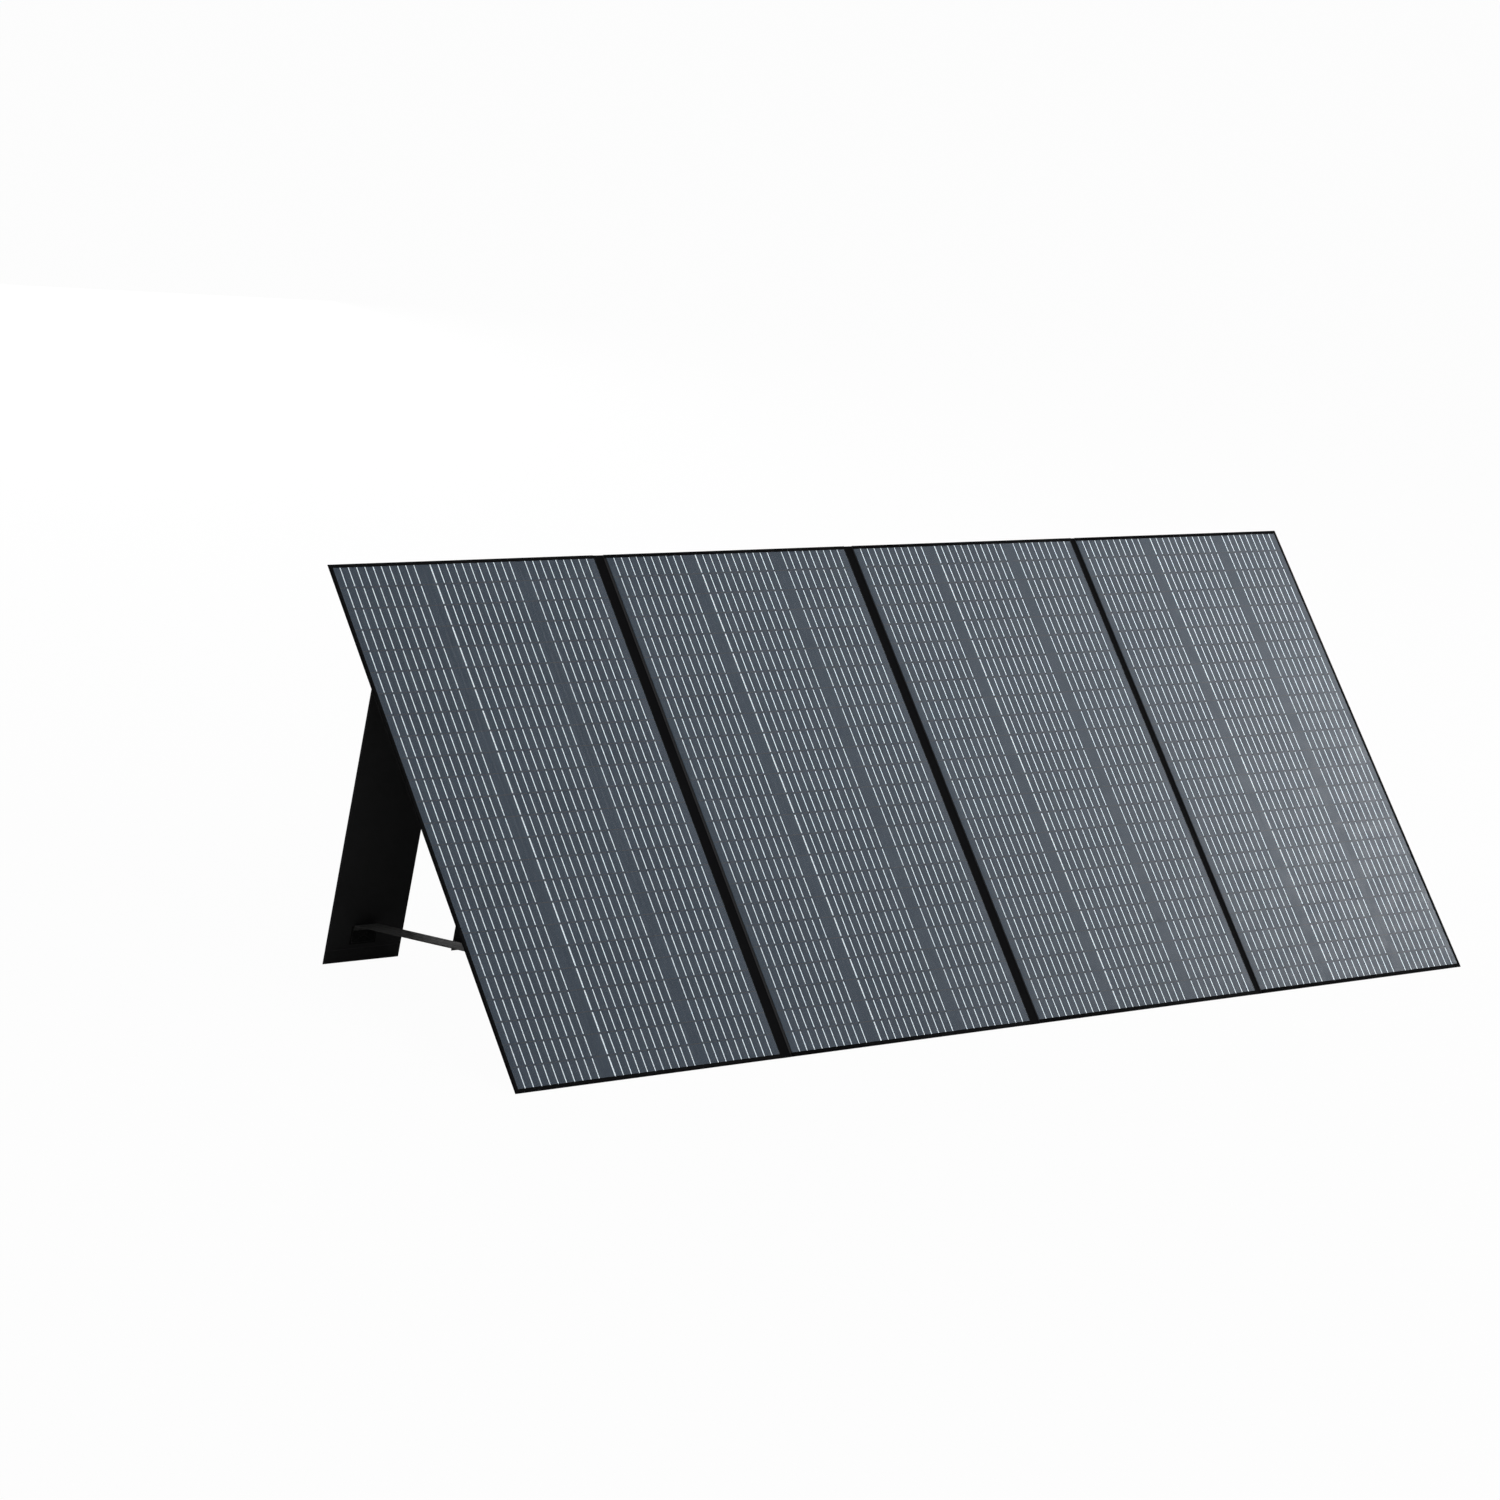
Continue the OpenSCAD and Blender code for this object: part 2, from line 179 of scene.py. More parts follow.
def start(name, mapped):
    """An empty material, its output, and metre coordinates: the UV layer, or slope axes for CAD nodes."""
    material = bpy.data.materials.new(name)
    material.use_nodes = True
    tree = material.node_tree
    tree.nodes.clear()
    output = add(tree, "ShaderNodeOutputMaterial")
    source = add(tree, "ShaderNodeTexCoord")
    if mapped:
        return material, tree, output, source.outputs["UV"]
    turned = add(tree, "ShaderNodeMapping", {"vector_type": "POINT"})
    turned.inputs["Rotation"].default_value = (-TILT, 0, 0)
    tree.links.new(source.outputs["Object"], turned.inputs["Vector"])
    return material, tree, output, turned.outputs["Vector"]


def spots(tree, place, size, detail=3.0, roughness=0.55):
    made = add(tree, "ShaderNodeTexNoise", Vector=place, Scale=1 / size, Detail=detail, Roughness=roughness)
    return made.outputs["Fac"]


def bump(tree, height, distance, strength=1.0, over=None):
    made = add(tree, "ShaderNodeBump", Height=height, Distance=distance, Strength=strength)
    if over is not None:
        put(tree, made.inputs["Normal"], over)
    return made.outputs["Normal"]


def surface(tree, output, **inputs):
    made = add(tree, "ShaderNodeBsdfPrincipled", **inputs)
    tree.links.new(made.outputs[0], output.inputs["Surface"])


def wave(tree, value, period):
    return calc(tree, "SINE", calc(tree, "MULTIPLY", value, 2 * math.pi / period))


def woven(name, colour, thread=0.9 * MM, fade=0.35, sheen=0.12, wrinkle=0.5 * MM, gloss=0.3):
    """Coated plain-weave nylon: crossed threads, soft creases, faded and dusty places."""
    material, tree, output, place = start(name, True)
    split = add(tree, "ShaderNodeSeparateXYZ", Vector=place)
    warp, weft = (wave(tree, split.outputs[k], thread) for k in (0, 1))
    threads = calc(tree, "MULTIPLY", warp, weft)
    worn = spots(tree, place, 90 * MM)
    lint = spots(tree, place, 2.2 * MM, 1.0)
    tone = colour_mix(tree, ramp(tree, worn, 0.35, 0.7), rgb(*colour), shade(colour, 1 + fade))
    tone = colour_mix(tree, ramp(tree, threads, -1.0, 1.0, 0.0, 0.45), tone, shade(colour, 0.5))
    tone = colour_mix(tree, ramp(tree, lint, 0.68, 0.8, 0.0, 0.25), tone, shade(colour, 4))
    creases = bump(tree, spots(tree, place, 60 * MM, 4.0, 0.6), wrinkle)
    normal = bump(tree, threads, 0.12 * MM, 0.6, creases)
    surface(
        tree, output, Base_Color=tone, Roughness=ramp(tree, worn, 0.3, 0.7, 0.62, 0.8), Normal=normal,
        Sheen_Weight=sheen, Sheen_Roughness=0.5, Specular_IOR_Level=gloss,
    )
    return material


def webbing(name, colour, rib=1.6 * MM, sheen=0.15, gloss=0.25):
    """Flat woven strap: herringbone ribs that run across the width, with slightly lighter high threads."""
    material, tree, output, place = start(name, True)
    split = add(tree, "ShaderNodeSeparateXYZ", Vector=place)
    across = calc(tree, "PINGPONG", split.outputs[0], 4 * rib)
    ribs = wave(tree, calc(tree, "ADD", split.outputs[1], across), rib)
    worn = spots(tree, place, 30 * MM)
    tone = colour_mix(tree, ramp(tree, ribs, -1.0, 1.0), shade(colour, 0.45), rgb(*colour))
    tone = colour_mix(tree, ramp(tree, worn, 0.4, 0.75, 0.0, 0.5), tone, shade(colour, 1.6))
    normal = bump(tree, ribs, 0.25 * MM, 0.8)
    surface(
        tree, output, Base_Color=tone, Roughness=0.78, Normal=normal,
        Sheen_Weight=sheen, Sheen_Roughness=0.45, Specular_IOR_Level=gloss,
    )
    return material


def napped(name, colour):
    """Loop pile: fine uneven fuzz with no gloss."""
    material, tree, output, place = start(name, True)
    fuzz = spots(tree, place, 1.1 * MM, 2.0, 0.7)
    clumps = spots(tree, place, 7 * MM)
    tone = colour_mix(tree, ramp(tree, fuzz, 0.3, 0.7), shade(colour, 0.4), rgb(*colour))
    tone = colour_mix(tree, ramp(tree, clumps, 0.4, 0.8, 0.0, 0.5), tone, shade(colour, 2.2))
    surface(
        tree, output, Base_Color=tone, Roughness=0.95, Normal=bump(tree, fuzz, 0.7 * MM),
        Sheen_Weight=0.02, Specular_IOR_Level=0.02,
    )
    return material


def plastic(name, colour, grain=0.7 * MM, rough=0.5, mapped=False):
    """Spark-eroded moulding: fine grain, faint handling marks, lighter where it is rubbed."""
    material, tree, output, place = start(name, mapped)
    fine = spots(tree, place, grain, 2.0)
    marks = spots(tree, place, 25 * MM)
    tone = colour_mix(tree, ramp(tree, marks, 0.35, 0.75), rgb(*colour), shade(colour, 1.5))
    edge = add(tree, "ShaderNodeNewGeometry").outputs["Pointiness"]
    tone = colour_mix(tree, ramp(tree, edge, 0.52, 0.6, 0.0, 0.35), tone, rgb(0.16, 0.16, 0.17))
    surface(
        tree, output, Base_Color=tone, Roughness=ramp(tree, marks, 0.3, 0.7, rough - 0.07, rough + 0.1),
        Normal=bump(tree, fine, 0.06 * MM, 0.5),
    )
    return material


def metal(name, colour, rough=0.3, mapped=False, pure=1.0):
    """Drawn metal with fine lines along it. pure is its share of bare metal."""
    material, tree, output, place = start(name, mapped)
    stretched = add(tree, "ShaderNodeVectorMath", {"operation": "MULTIPLY"})
    put(tree, stretched.inputs[0], place)
    put(tree, stretched.inputs[1], (1.0, 0.06, 1.0))
    brushed = spots(tree, stretched.outputs[0], 0.6 * MM, 2.0)
    tone = colour_mix(tree, ramp(tree, brushed, 0.3, 0.7), shade(colour, 0.88), rgb(*colour))
    surface(
        tree, output, Base_Color=tone, Metallic=pure, Normal=bump(tree, brushed, 0.02 * MM, 0.3),
        Roughness=ramp(tree, brushed, 0.2, 0.8, rough - 0.08, rough + 0.15),
    )
    return material


def thread_material(name, colour):
    """Twisted sewing thread."""
    material, tree, output, place = start(name, True)
    split = add(tree, "ShaderNodeSeparateXYZ", Vector=place)
    twist = wave(tree, calc(tree, "ADD", split.outputs[0], split.outputs[1]), 0.5 * MM)
    tone = colour_mix(tree, ramp(tree, twist, -1.0, 1.0), shade(colour, 0.6), rgb(*colour))
    normal = bump(tree, twist, 0.05 * MM, 0.5)
    surface(tree, output, Base_Color=tone, Roughness=0.6, Normal=normal, Sheen_Weight=0.2)
    return material


HATCH_PERIOD = 3.7 * MM
HATCH_ANGLE = math.radians(38)
FILM_TONE = (0.060, 0.082, 0.108)
FILM_HAZE = 0.11


def film_material():
    """Embossed clear film over the cells: thin haze with a fine zigzag hatch, and a satin gloss."""
    material, tree, output, place = start("film", True)
    split = add(tree, "ShaderNodeSeparateXYZ", Vector=place)
    zigzag = calc(tree, "PINGPONG", split.outputs[0], 1.5 * HATCH_PERIOD)
    lean = calc(tree, "MULTIPLY", split.outputs[0], -math.tan(HATCH_ANGLE))
    rise = calc(tree, "ADD", split.outputs[1], lean)
    rise = calc(tree, "ADD", rise, calc(tree, "MULTIPLY", zigzag, 0.35))
    hatch = wave(tree, rise, HATCH_PERIOD)
    cloud = spots(tree, place, 160 * MM, 2.0)
    light = shade(FILM_TONE, 1.5)
    tone = colour_mix(tree, ramp(tree, hatch, -1.0, 1.0), shade(FILM_TONE, 0.5), light)
    tone = colour_mix(tree, ramp(tree, cloud, 0.3, 0.7, 0.0, 0.25), tone, light)
    normal = bump(tree, hatch, 0.2 * MM, 0.9)
    veil = calc(tree, "MULTIPLY", ramp(tree, hatch, -1.0, 1.0, 0.0, 2.0), FILM_HAZE)
    haze = add(tree, "ShaderNodeBsdfDiffuse", Color=tone, Normal=normal)
    gloss = add(tree, "ShaderNodeBsdfGlossy", Color=rgb(0.9, 0.95, 1.0), Roughness=0.40, Normal=normal)
    clear = add(tree, "ShaderNodeBsdfTransparent")
    facing = calc(tree, "SUBTRACT", 1.0, add(tree, "ShaderNodeNewGeometry").outputs["Backfacing"])
    body = shader_mix(tree, calc(tree, "MULTIPLY", facing, veil), clear, haze)
    mirror = calc(tree, "MULTIPLY", facing, add(tree, "ShaderNodeFresnel", IOR=1.45).outputs[0])
    coated = shader_mix(tree, mirror, body, gloss)
    tree.links.new(coated.outputs[0], output.inputs["Surface"])
    return material


CELL_TONES = ((0.036, 0.060, 0.096), (0.046, 0.073, 0.112))
CELL_MARGIN = 0.013
CELL_LENGTH = 0.2


def cell_material():
    """Blue-grey silicon: each row has its own slight tone, with dark edges and hair-fine finger lines."""
    material, tree, output, place = start("cell", False)
    split = add(tree, "ShaderNodeSeparateXYZ", Vector=place)
    low, high = LAMINATE[1]
    first_row = (SLOPE.inverted() @ Vector((0, 0, 0))).y
    up = calc(tree, "ADD", split.outputs[1], first_row - low.y)
    rows = calc(tree, "DIVIDE", up, (high.y - low.y) / CELL_ROWS)
    lot = add(tree, "ShaderNodeTexWhiteNoise", {"noise_dimensions": "2D"})
    pair = add(
        tree, "ShaderNodeCombineXYZ", X=calc(tree, "FLOOR", rows),
        Y=calc(tree, "FLOOR", calc(tree, "DIVIDE", split.outputs[0], CELL_LENGTH)),
    )
    tree.links.new(pair.outputs[0], lot.inputs["Vector"])
    tone = colour_mix(tree, lot.outputs["Value"], rgb(*CELL_TONES[0]), rgb(*CELL_TONES[1]))
    edge = calc(tree, "PINGPONG", rows, 0.5)
    tone = colour_mix(tree, calc(tree, "LESS_THAN", edge, CELL_MARGIN), tone, rgb(0.008, 0.011, 0.016))
    fingers = wave(tree, split.outputs[1], 1.4 * MM)
    tone = colour_mix(tree, ramp(tree, fingers, 0.9, 1.0, 0.0, 0.15), tone, rgb(0.2, 0.22, 0.25))
    cloud = spots(tree, place, 40 * MM)
    rough = ramp(tree, cloud, 0.3, 0.7, 0.3, 0.45)
    surface(tree, output, Base_Color=tone, Roughness=rough, Specular_IOR_Level=0.2)
    return material


FLOOR_GLOW = 0.97


def floor_material():
    """Near-white sweep: mostly even to the camera, plain matt to the rest of the scene."""
    material, tree, output, place = start("floor", False)
    tone = colour_mix(tree, spots(tree, place, 0.8), rgb(0.86, 0.86, 0.86), rgb(0.89, 0.89, 0.89))
    matt = add(tree, "ShaderNodeBsdfDiffuse", Color=tone)
    glow = add(tree, "ShaderNodeEmission", Color=rgb(1, 1, 1), Strength=1.0)
    seen = add(tree, "ShaderNodeLightPath").outputs["Is Camera Ray"]
    mix = shader_mix(tree, calc(tree, "MULTIPLY", seen, FLOOR_GLOW), matt, glow)
    tree.links.new(mix.outputs[0], output.inputs["Surface"])
    return material


CELL_ROWS = 24
RIBBON_PITCHES = 33
STRING_ENDS = (11, 23)
# The ribbons are narrower than a pixel at the camera's distance, and their colour is brighter than white: a
# painted glint for the shine of the solder ribbons.
RIBBON_GLINT_TONE = [2.3 * c for c in (0.88, 0.96, 1.0)]

FILM = film_material()
CELL = cell_material()
# The ribbon material carries the painted glint colour.
RIBBON = metal("ribbon", RIBBON_GLINT_TONE, 0.5, mapped=True, pure=0.0)
BOARD = plastic("board", (0.006, 0.006, 0.007), 1.5 * MM, 0.6)
REAR_FABRIC = woven("rear_fabric", (0.030, 0.030, 0.033), 1.3 * MM, wrinkle=1.6 * MM)
HINGE_FABRIC = woven("hinge_fabric", (0.005, 0.005, 0.006), fade=0.3, sheen=0.0, gloss=0.04)
BINDING = webbing("binding", (0.007, 0.007, 0.008), 1.0 * MM, 0.0, 0.06)
LEG_FABRIC = woven("leg_fabric", (0.025, 0.025, 0.0255), sheen=0.02, gloss=0.12)
LEG_BOARD = plastic("leg_board", (0.20, 0.17, 0.13), 2.0 * MM, 0.7)
# The patch is napped pile painted darker than the leg and the strap: painted shade for the shade it lies in.
SHADED_PATCH = napped("patch", (0.013, 0.013, 0.013))
WEBBING = webbing("webbing", (0.022, 0.022, 0.024))
# The strap webbing is painted lighter than the other webbing: a painted highlight for the light on its top
# face.
LIT_STRAP_WEBBING = webbing("strap_webbing", (0.050, 0.050, 0.047))
THREAD = thread_material("thread", (0.035, 0.035, 0.037))
BOX_PLASTIC = plastic("box_plastic", (0.022, 0.022, 0.024))
CONNECTOR = plastic("connector", (0.016, 0.016, 0.017), 0.5 * MM, 0.4)
CABLE = plastic("cable", (0.013, 0.013, 0.013), 1.2 * MM, 0.45, mapped=True)
DIODE = plastic("diode", (0.02, 0.02, 0.02), 0.4 * MM, 0.3)
COPPER = metal("conductor", (0.72, 0.45, 0.25))
ZIP_METAL = metal("zip_metal", (0.30, 0.30, 0.31), 0.28)
ZIP_TEETH = metal("zip_teeth", (0.26, 0.26, 0.27), 0.35, mapped=True)
POCKET_FABRIC = woven("pocket_fabric", (0.024, 0.024, 0.027), 1.3 * MM, wrinkle=1.8 * MM)


# ---------------------------------------------------------------- mesh helpers


def box_uv(mesh):
    """A UV layer in metres, projected along each face's main direction. Patterns stay put at every pose."""
    layer = mesh.uv_layers.new(name="metres")
    corners = np.zeros(len(mesh.vertices) * 3)
    mesh.vertices.foreach_get("co", corners)
    normals = np.zeros(len(mesh.polygons) * 3)
    mesh.polygons.foreach_get("normal", normals)
    counts = np.zeros(len(mesh.polygons), int)
    mesh.polygons.foreach_get("loop_total", counts)
    owners = np.zeros(len(mesh.loops), int)
    mesh.loops.foreach_get("vertex_index", owners)
    main = np.repeat(np.argmax(np.abs(normals.reshape(-1, 3)), axis=1), counts)
    picked = np.array([(1, 2), (0, 2), (0, 1)])[main]
    at = corners.reshape(-1, 3)[owners]
    layer.data.foreach_set("uv", np.take_along_axis(at, picked, axis=1).ravel())


def piece(name, points, faces, material, place=SLOPE, smooth=True, uv=None):
    mesh = bpy.data.meshes.new(name)
    mesh.from_pydata([tuple(p) for p in points], [], [tuple(f) for f in faces])
    mesh.update()
    if uv is None:
        box_uv(mesh)
    else:
        layer = mesh.uv_layers.new(name="metres")
        values = [uv[v] for f in mesh.polygons for v in f.vertices]
        layer.data.foreach_set("uv", np.array(values, float).ravel())
    mesh.polygons.foreach_set("use_smooth", [smooth] * len(mesh.polygons))
    mesh.materials.append(material)
    made = bpy.data.objects.new(name, mesh)
    bpy.context.scene.collection.objects.link(made)
    made.matrix_world = place
    return made


def spaced(low, high, step, edge, insets=(), extra=()):
    """Places from low to high, close together inside each edge, where a rounded rim needs them."""
    rim = [edge * (1 - math.cos(math.radians(a))) for a in (0, 25, 50, 75, 90)] + list(insets)
    reach = rim[-1]
    count = max(2, round((high - low - 2 * reach) / step))
    inside = list(np.linspace(low + reach, high - reach, count + 1))[1:-1]
    inside += [place + shift for place in extra for shift in (-1.6 * MM, 0.0, 1.6 * MM)]
    return [low + r for r in rim] + sorted(inside) + [high - r for r in reversed(rim)]


def pad(
    name, low, high, material, place=SLOPE, step=10 * MM,
    front=None, back=None, rows=(), insets=(),
):
    """Closed flat piece with rounded rims. front and back shift its faces by a function of x and y."""
    half = (high.z - low.z) / 2
    middle = (high.z + low.z) / 2
    xs = spaced(low.x, high.x, step, half, insets)
    ys = spaced(low.y, high.y, step, half, insets, rows)

    def rise(x, y):
        inset = min(x - low.x, high.x - x, y - low.y, high.y - y, half)
        return half * math.sqrt(max(0.0, 1 - (1 - inset / half) ** 2))

    points = []
    for shift, sign in ((front, 1), (back, -1)):
        for y in ys:
            for x in xs:
                lift = rise(x, y)
                moved = shift(x, y) * min(1.0, lift / half) if shift else 0.0
                points.append((x, y, middle + sign * (lift + moved)))
    wide, tall = len(xs), len(ys)
    size = wide * tall

    def index(column, row, side):
        on_rim = column in (0, wide - 1) or row in (0, tall - 1)
        return row * wide + column + (0 if on_rim else side * size)

    faces = []
    for row in range(tall - 1):
        for column in range(wide - 1):
            ring = [(column, row), (column + 1, row), (column + 1, row + 1), (column, row + 1)]
            faces.append([index(*p, 0) for p in ring])
            faces.append([index(*p, 1) for p in reversed(ring)])
    used = sorted({v for f in faces for v in f})
    renamed = {v: k for k, v in enumerate(used)}
    return piece(
        name, [points[v] for v in used], [[renamed[v] for v in f] for f in faces], material, place
    )


def quads(ring, count):
    """Faces between count rings of points, and the two faces that close the ends."""
    sides = [
        (k * ring + j, k * ring + (j + 1) % ring, (k + 1) * ring + (j + 1) % ring, (k + 1) * ring + j)
        for k in range(count - 1)
        for j in range(ring)
    ]
    last = (count - 1) * ring
    return sides + [tuple(reversed(range(ring))), tuple(range(last, last + ring))]


def sweep(name, path, width, thick, material, slot, side=RIGHT, centre=Vector((0, 0, 0)), place=None):
    """Flat webbing along a path. Its width lies along side, or else in the plane of the path."""
    place = place or Matrix.Identity(4)
    across = 8
    rim = [(math.cos(a), math.sin(a)) for a in (math.pi * 0.5 * k / 3 for k in range(-3, 4))]
    half, flat = thick / 2, width / 2 - thick / 2
    outline = [(flat + half * c, half * s) for c, s in rim]
    outline += [(flat - 2 * flat * k / across, half) for k in range(1, across)]
    outline += [(-flat - half * c, -half * s) for c, s in rim]
    outline += [(-flat + 2 * flat * k / across, -half) for k in range(1, across)]
    points, uv, run = [], [], 0.0
    for k, here in enumerate(path):
        before, after = path[max(0, k - 1)], path[min(len(path) - 1, k + 1)]
        ahead = (after - before).normalized()
        beside = side or FORWARDS.cross(ahead).normalized()
        upward = ahead.cross(beside).normalized()
        run += (here - before).length
        for a, b in outline:
            points.append(here + centre + beside * a + upward * b)
            uv.append((a, run))
    return piece(name, points, quads(len(outline), len(path)), material, place, uv=uv)


STITCH = 3.4 * MM
STITCH_GAP = 1.0 * MM
STITCH_R = 0.32 * MM
SUNK = -0.2 * MM


def stitches(name, lines, place=SLOPE, proud=0.1 * MM):
    """Beads of thread along straight lines. A line is (start, end, outward direction)."""
    sides = 6
    stations = [(-0.5, 0.25), (-0.38, 0.85), (0.0, 1.0), (0.38, 0.85), (0.5, 0.25)]
    bead = quads(sides, len(stations))
    points, faces = [], []
    for first, last, outward in lines:
        length = (last - first).length
        count = max(1, int(length / (STITCH + STITCH_GAP)))
        ahead = (last - first).normalized()
        beside = outward.cross(ahead).normalized()
        for k in range(count):
            middle = first + ahead * (length * (k + 0.5) / count) + outward * proud
            base = len(points)
            for along, wide in stations:
                for s in range(sides):
                    turn = 2 * math.pi * s / sides
                    points.append(
                        middle + ahead * along * STITCH
                        + beside * STITCH_R * wide * math.cos(turn)
                        + outward * STITCH_R * wide * math.sin(turn)
                    )
            faces += [tuple(base + v for v in face) for face in bead]
    return piece(name, points, faces, THREAD, place)


def rectangle_lines(low, high, z, outward, inset=0.0):
    """The four sides of a rectangle in a local frame, as stitch lines."""
    a, b = low.x + inset, high.x - inset
    c, d = low.y + inset, high.y - inset
    corners = [Vector((a, c, z)), Vector((b, c, z)), Vector((b, d, z)), Vector((a, d, z))]
    return [(corners[k], corners[(k + 1) % 4], outward) for k in range(4)]


def crossed_box_lines(low, high, z, outward, inset):
    sides = rectangle_lines(low, high, z, outward, inset)
    return sides + [(sides[0][0], sides[2][0], outward), (sides[1][0], sides[3][0], outward)]


# ---------------------------------------------------------------- front of the laminates


def film(i):
    low, high = local_box(f"front_film_{i}", SLOPE)

    def uneven(x, y):
        return 0.04 * MM * noise.noise(Vector((x * 9, y * 9, i * 3.1)))

    made = pad(f"film_{i}", low, high, FILM, step=24 * MM, front=uneven)
    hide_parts(f"front_film_{i}")
    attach(made, f"panel_{i}")


RIBBON_BREAK = 4.2 * MM
RIBBON_W = 1.8 * MM
FIRST_RIBBON_W = 2.6 * MM


def ribbon_lines(i):
    """Thin raised strips that break off at every row, where each dips under the next cell."""
    low, high = LAMINATE[i]
    base, top = (corner.z for corner in local_box(f"ribbons_{i}", SLOPE))
    pitch = (high.x - low.x) / RIBBON_PITCHES
    row = (high.y - low.y) / CELL_ROWS
    points, faces = [], []
    for k in range(1, RIBBON_PITCHES):
        if k in STRING_ENDS:
            continue
        x = low.x + k * pitch
        half = (FIRST_RIBBON_W if k == STRING_ENDS[0] + 1 else RIBBON_W) / 2
        section = [(-half, base), (-half * 0.8, top), (half * 0.8, top), (half, base)]
        for r in range(CELL_ROWS):
            start_y = low.y + r * row + RIBBON_BREAK / 2
            end_y = low.y + (r + 1) * row - RIBBON_BREAK / 2
            b = len(points)
            points += [(x + dx, start_y, z) for dx, z in section]
            points += [(x + dx, end_y, z) for dx, z in section]
            faces += [(b + j, b + j + 4, b + (j + 1) % 4 + 4, b + (j + 1) % 4) for j in range(4)]
            faces += [(b, b + 1, b + 2, b + 3), (b + 7, b + 6, b + 5, b + 4)]
    made = piece(f"ribbon_lines_{i}", points, faces, RIBBON, smooth=False)
    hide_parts(f"ribbons_{i}")
    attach(made, f"panel_{i}")


# ---------------------------------------------------------------- fabric of the laminates

PUCKER = 0.42 * MM


def rear_skin(i):
    """Rear fabric of one laminate, gently rippled, as far as the fold lines."""
    low, high = (Vector(c) for c in COVER[i])
    if i > 1:
        low.x = FOLD_FAR[i - 1] + FOLD_RELIEF
    if i < 4:
        high.x = LAMINATE[i][1].x

    def ripple(x, y):
        rim = min(x - low.x, high.x - x, y - low.y, high.y - y)
        fine = noise.noise(Vector((x * 34, y * 26, i * 7.7)))
        broad = noise.noise(Vector((x * 7, y * 5, i * 2.3)))
        return PUCKER * (0.6 * broad + 0.5 * fine * math.exp(-rim / 0.03) - 0.4) * min(1.0, rim / (7 * MM))

    made = pad(f"rear_skin_{i}", low, high, REAR_FABRIC, step=8 * MM, back=ripple)
    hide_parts(f"rear_cover_{i}")
    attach(made, f"panel_{i}")


BINDING_FRONT = LAMINATE_TOP + 0.15 * MM


def binding_profile(half):
    """Closed C-shaped section that laps over the film: (inwards from the edge, out of the slope)."""
    width, lap, wall, notch, bulge = 4.9 * MM, 7 * MM, 0.12 * MM, 0.58 * MM, 1.2 * MM
    reach, middle = (BINDING_FRONT + half) / 2, (BINDING_FRONT - half) / 2
    outer = [(bulge * (1 - math.sin(a)), middle + reach * math.cos(a)) for a in np.linspace(0, math.pi, 9)]
    inside = [(width, -0.5 * MM), (notch, -0.5 * MM), (notch, 0.9 * MM), (1.3 * MM, BINDING_FRONT - wall)]
    return [(lap, BINDING_FRONT)] + outer + [(width, -half)] + inside + [(lap, BINDING_FRONT - wall)]


def binding_tape(name, corners, half):
    """Tape folded over the edge of the fabric. A corner is (x, y, inward direction, mitred)."""
    section = binding_profile(half)
    points, uv, run = [], [], 0.0
    for k, (x, y, inward) in enumerate(corners):
        if k:
            run += math.hypot(x - corners[k - 1][0], y - corners[k - 1][1])
        for u, z in section:
            points.append((x + inward[0] * u, y + inward[1] * u, z))
            uv.append((u + z, run))
    return piece(name, points, quads(len(section), len(corners)), BINDING, uv=uv)


BINDING_SEAM = 3.8 * MM
BINDING_SEAM_SUNK = -0.27 * MM


def edge_tape(i):
    """Binding along the free edges of laminate i, with its seam on both faces."""
    low, high = local_box(f"edge_binding_{i}", SLOPE)
    half, left, right = high.z, low.x, high.x
    top = [(right, HEIGHT, (0, -1)), (left, HEIGHT, (0, -1))]
    bottom = [(left, 0, (0, 1)), (right, 0, (0, 1))]
    seam = BINDING_SEAM
    lines = []
    for z, outward in ((BINDING_FRONT, FORWARDS), (-half, BACKWARDS)):
        for y in (HEIGHT - seam, seam):
            lines.append((Vector((left + seam, y, z)), Vector((right - seam, y, z)), outward))
        for x, wanted in ((left + seam, i == 1), (right - seam, i == 4)):
            if wanted:
                lines.append((Vector((x, seam, z)), Vector((x, HEIGHT - seam, z)), outward))
    if i == 1:
        path = [top[0], (left, HEIGHT, (1, -1)), (left, 0, (1, 1)), bottom[1]]
        made = [binding_tape(f"edge_tape_{i}", path, half)]
    elif i == 4:
        path = [bottom[0], (right, 0, (-1, 1)), (right, HEIGHT, (-1, -1)), top[1]]
        made = [binding_tape(f"edge_tape_{i}", path, half)]
    else:
        sides = (("top", top), ("bottom", bottom))
        made = [binding_tape(f"edge_tape_{side}_{i}", path, half) for side, path in sides]
    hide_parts(f"edge_binding_{i}")
    made.append(stitches(f"edge_seam_{i}", lines, proud=BINDING_SEAM_SUNK))
    for item in made:
        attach(item, f"panel_{i}")


def hinge_fabric(n):
    """Fabric from laminate n to the far fold line. It bends at the near fold line."""
    low, high = (Vector(c) for c in local_box(f"hinge_strip_{n}", SLOPE))
    low.x, high.x = LAMINATE[n][1].x, FOLD_FAR[n] - FOLD_RELIEF
    step = 1.2 * MM if n == 3 else 1.6 * MM
    made = pad(f"hinge_fabric_{n}", low, high, HINGE_FABRIC, step=step)
    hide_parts(f"hinge_strip_{n}")
    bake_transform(made)


LIP_T = 0.12 * MM
LIP_OVER_STRIP = 0.45 * MM
LIP_OVER_COVER = 2.4 * MM


def hinge_lip(n):
    """Thin seam tape on the rear that covers the joint between a strip and the next laminate's cover."""
    low = Vector((FOLD_FAR[n] - LIP_OVER_STRIP, 1 * MM, REAR - LIP_T - 0.01 * MM))
    high = Vector((FOLD_FAR[n] + LIP_OVER_COVER, HEIGHT - 1 * MM, REAR - 0.01 * MM))
    made = pad(f"hinge_lip_{n}", low, high, HINGE_FABRIC, step=24 * MM)
    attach(made, f"panel_{n + 1}")


# ---------------------------------------------------------------- legs

SEAM_INSET = 2.2 * MM
HEM_HEIGHT = 24 * MM


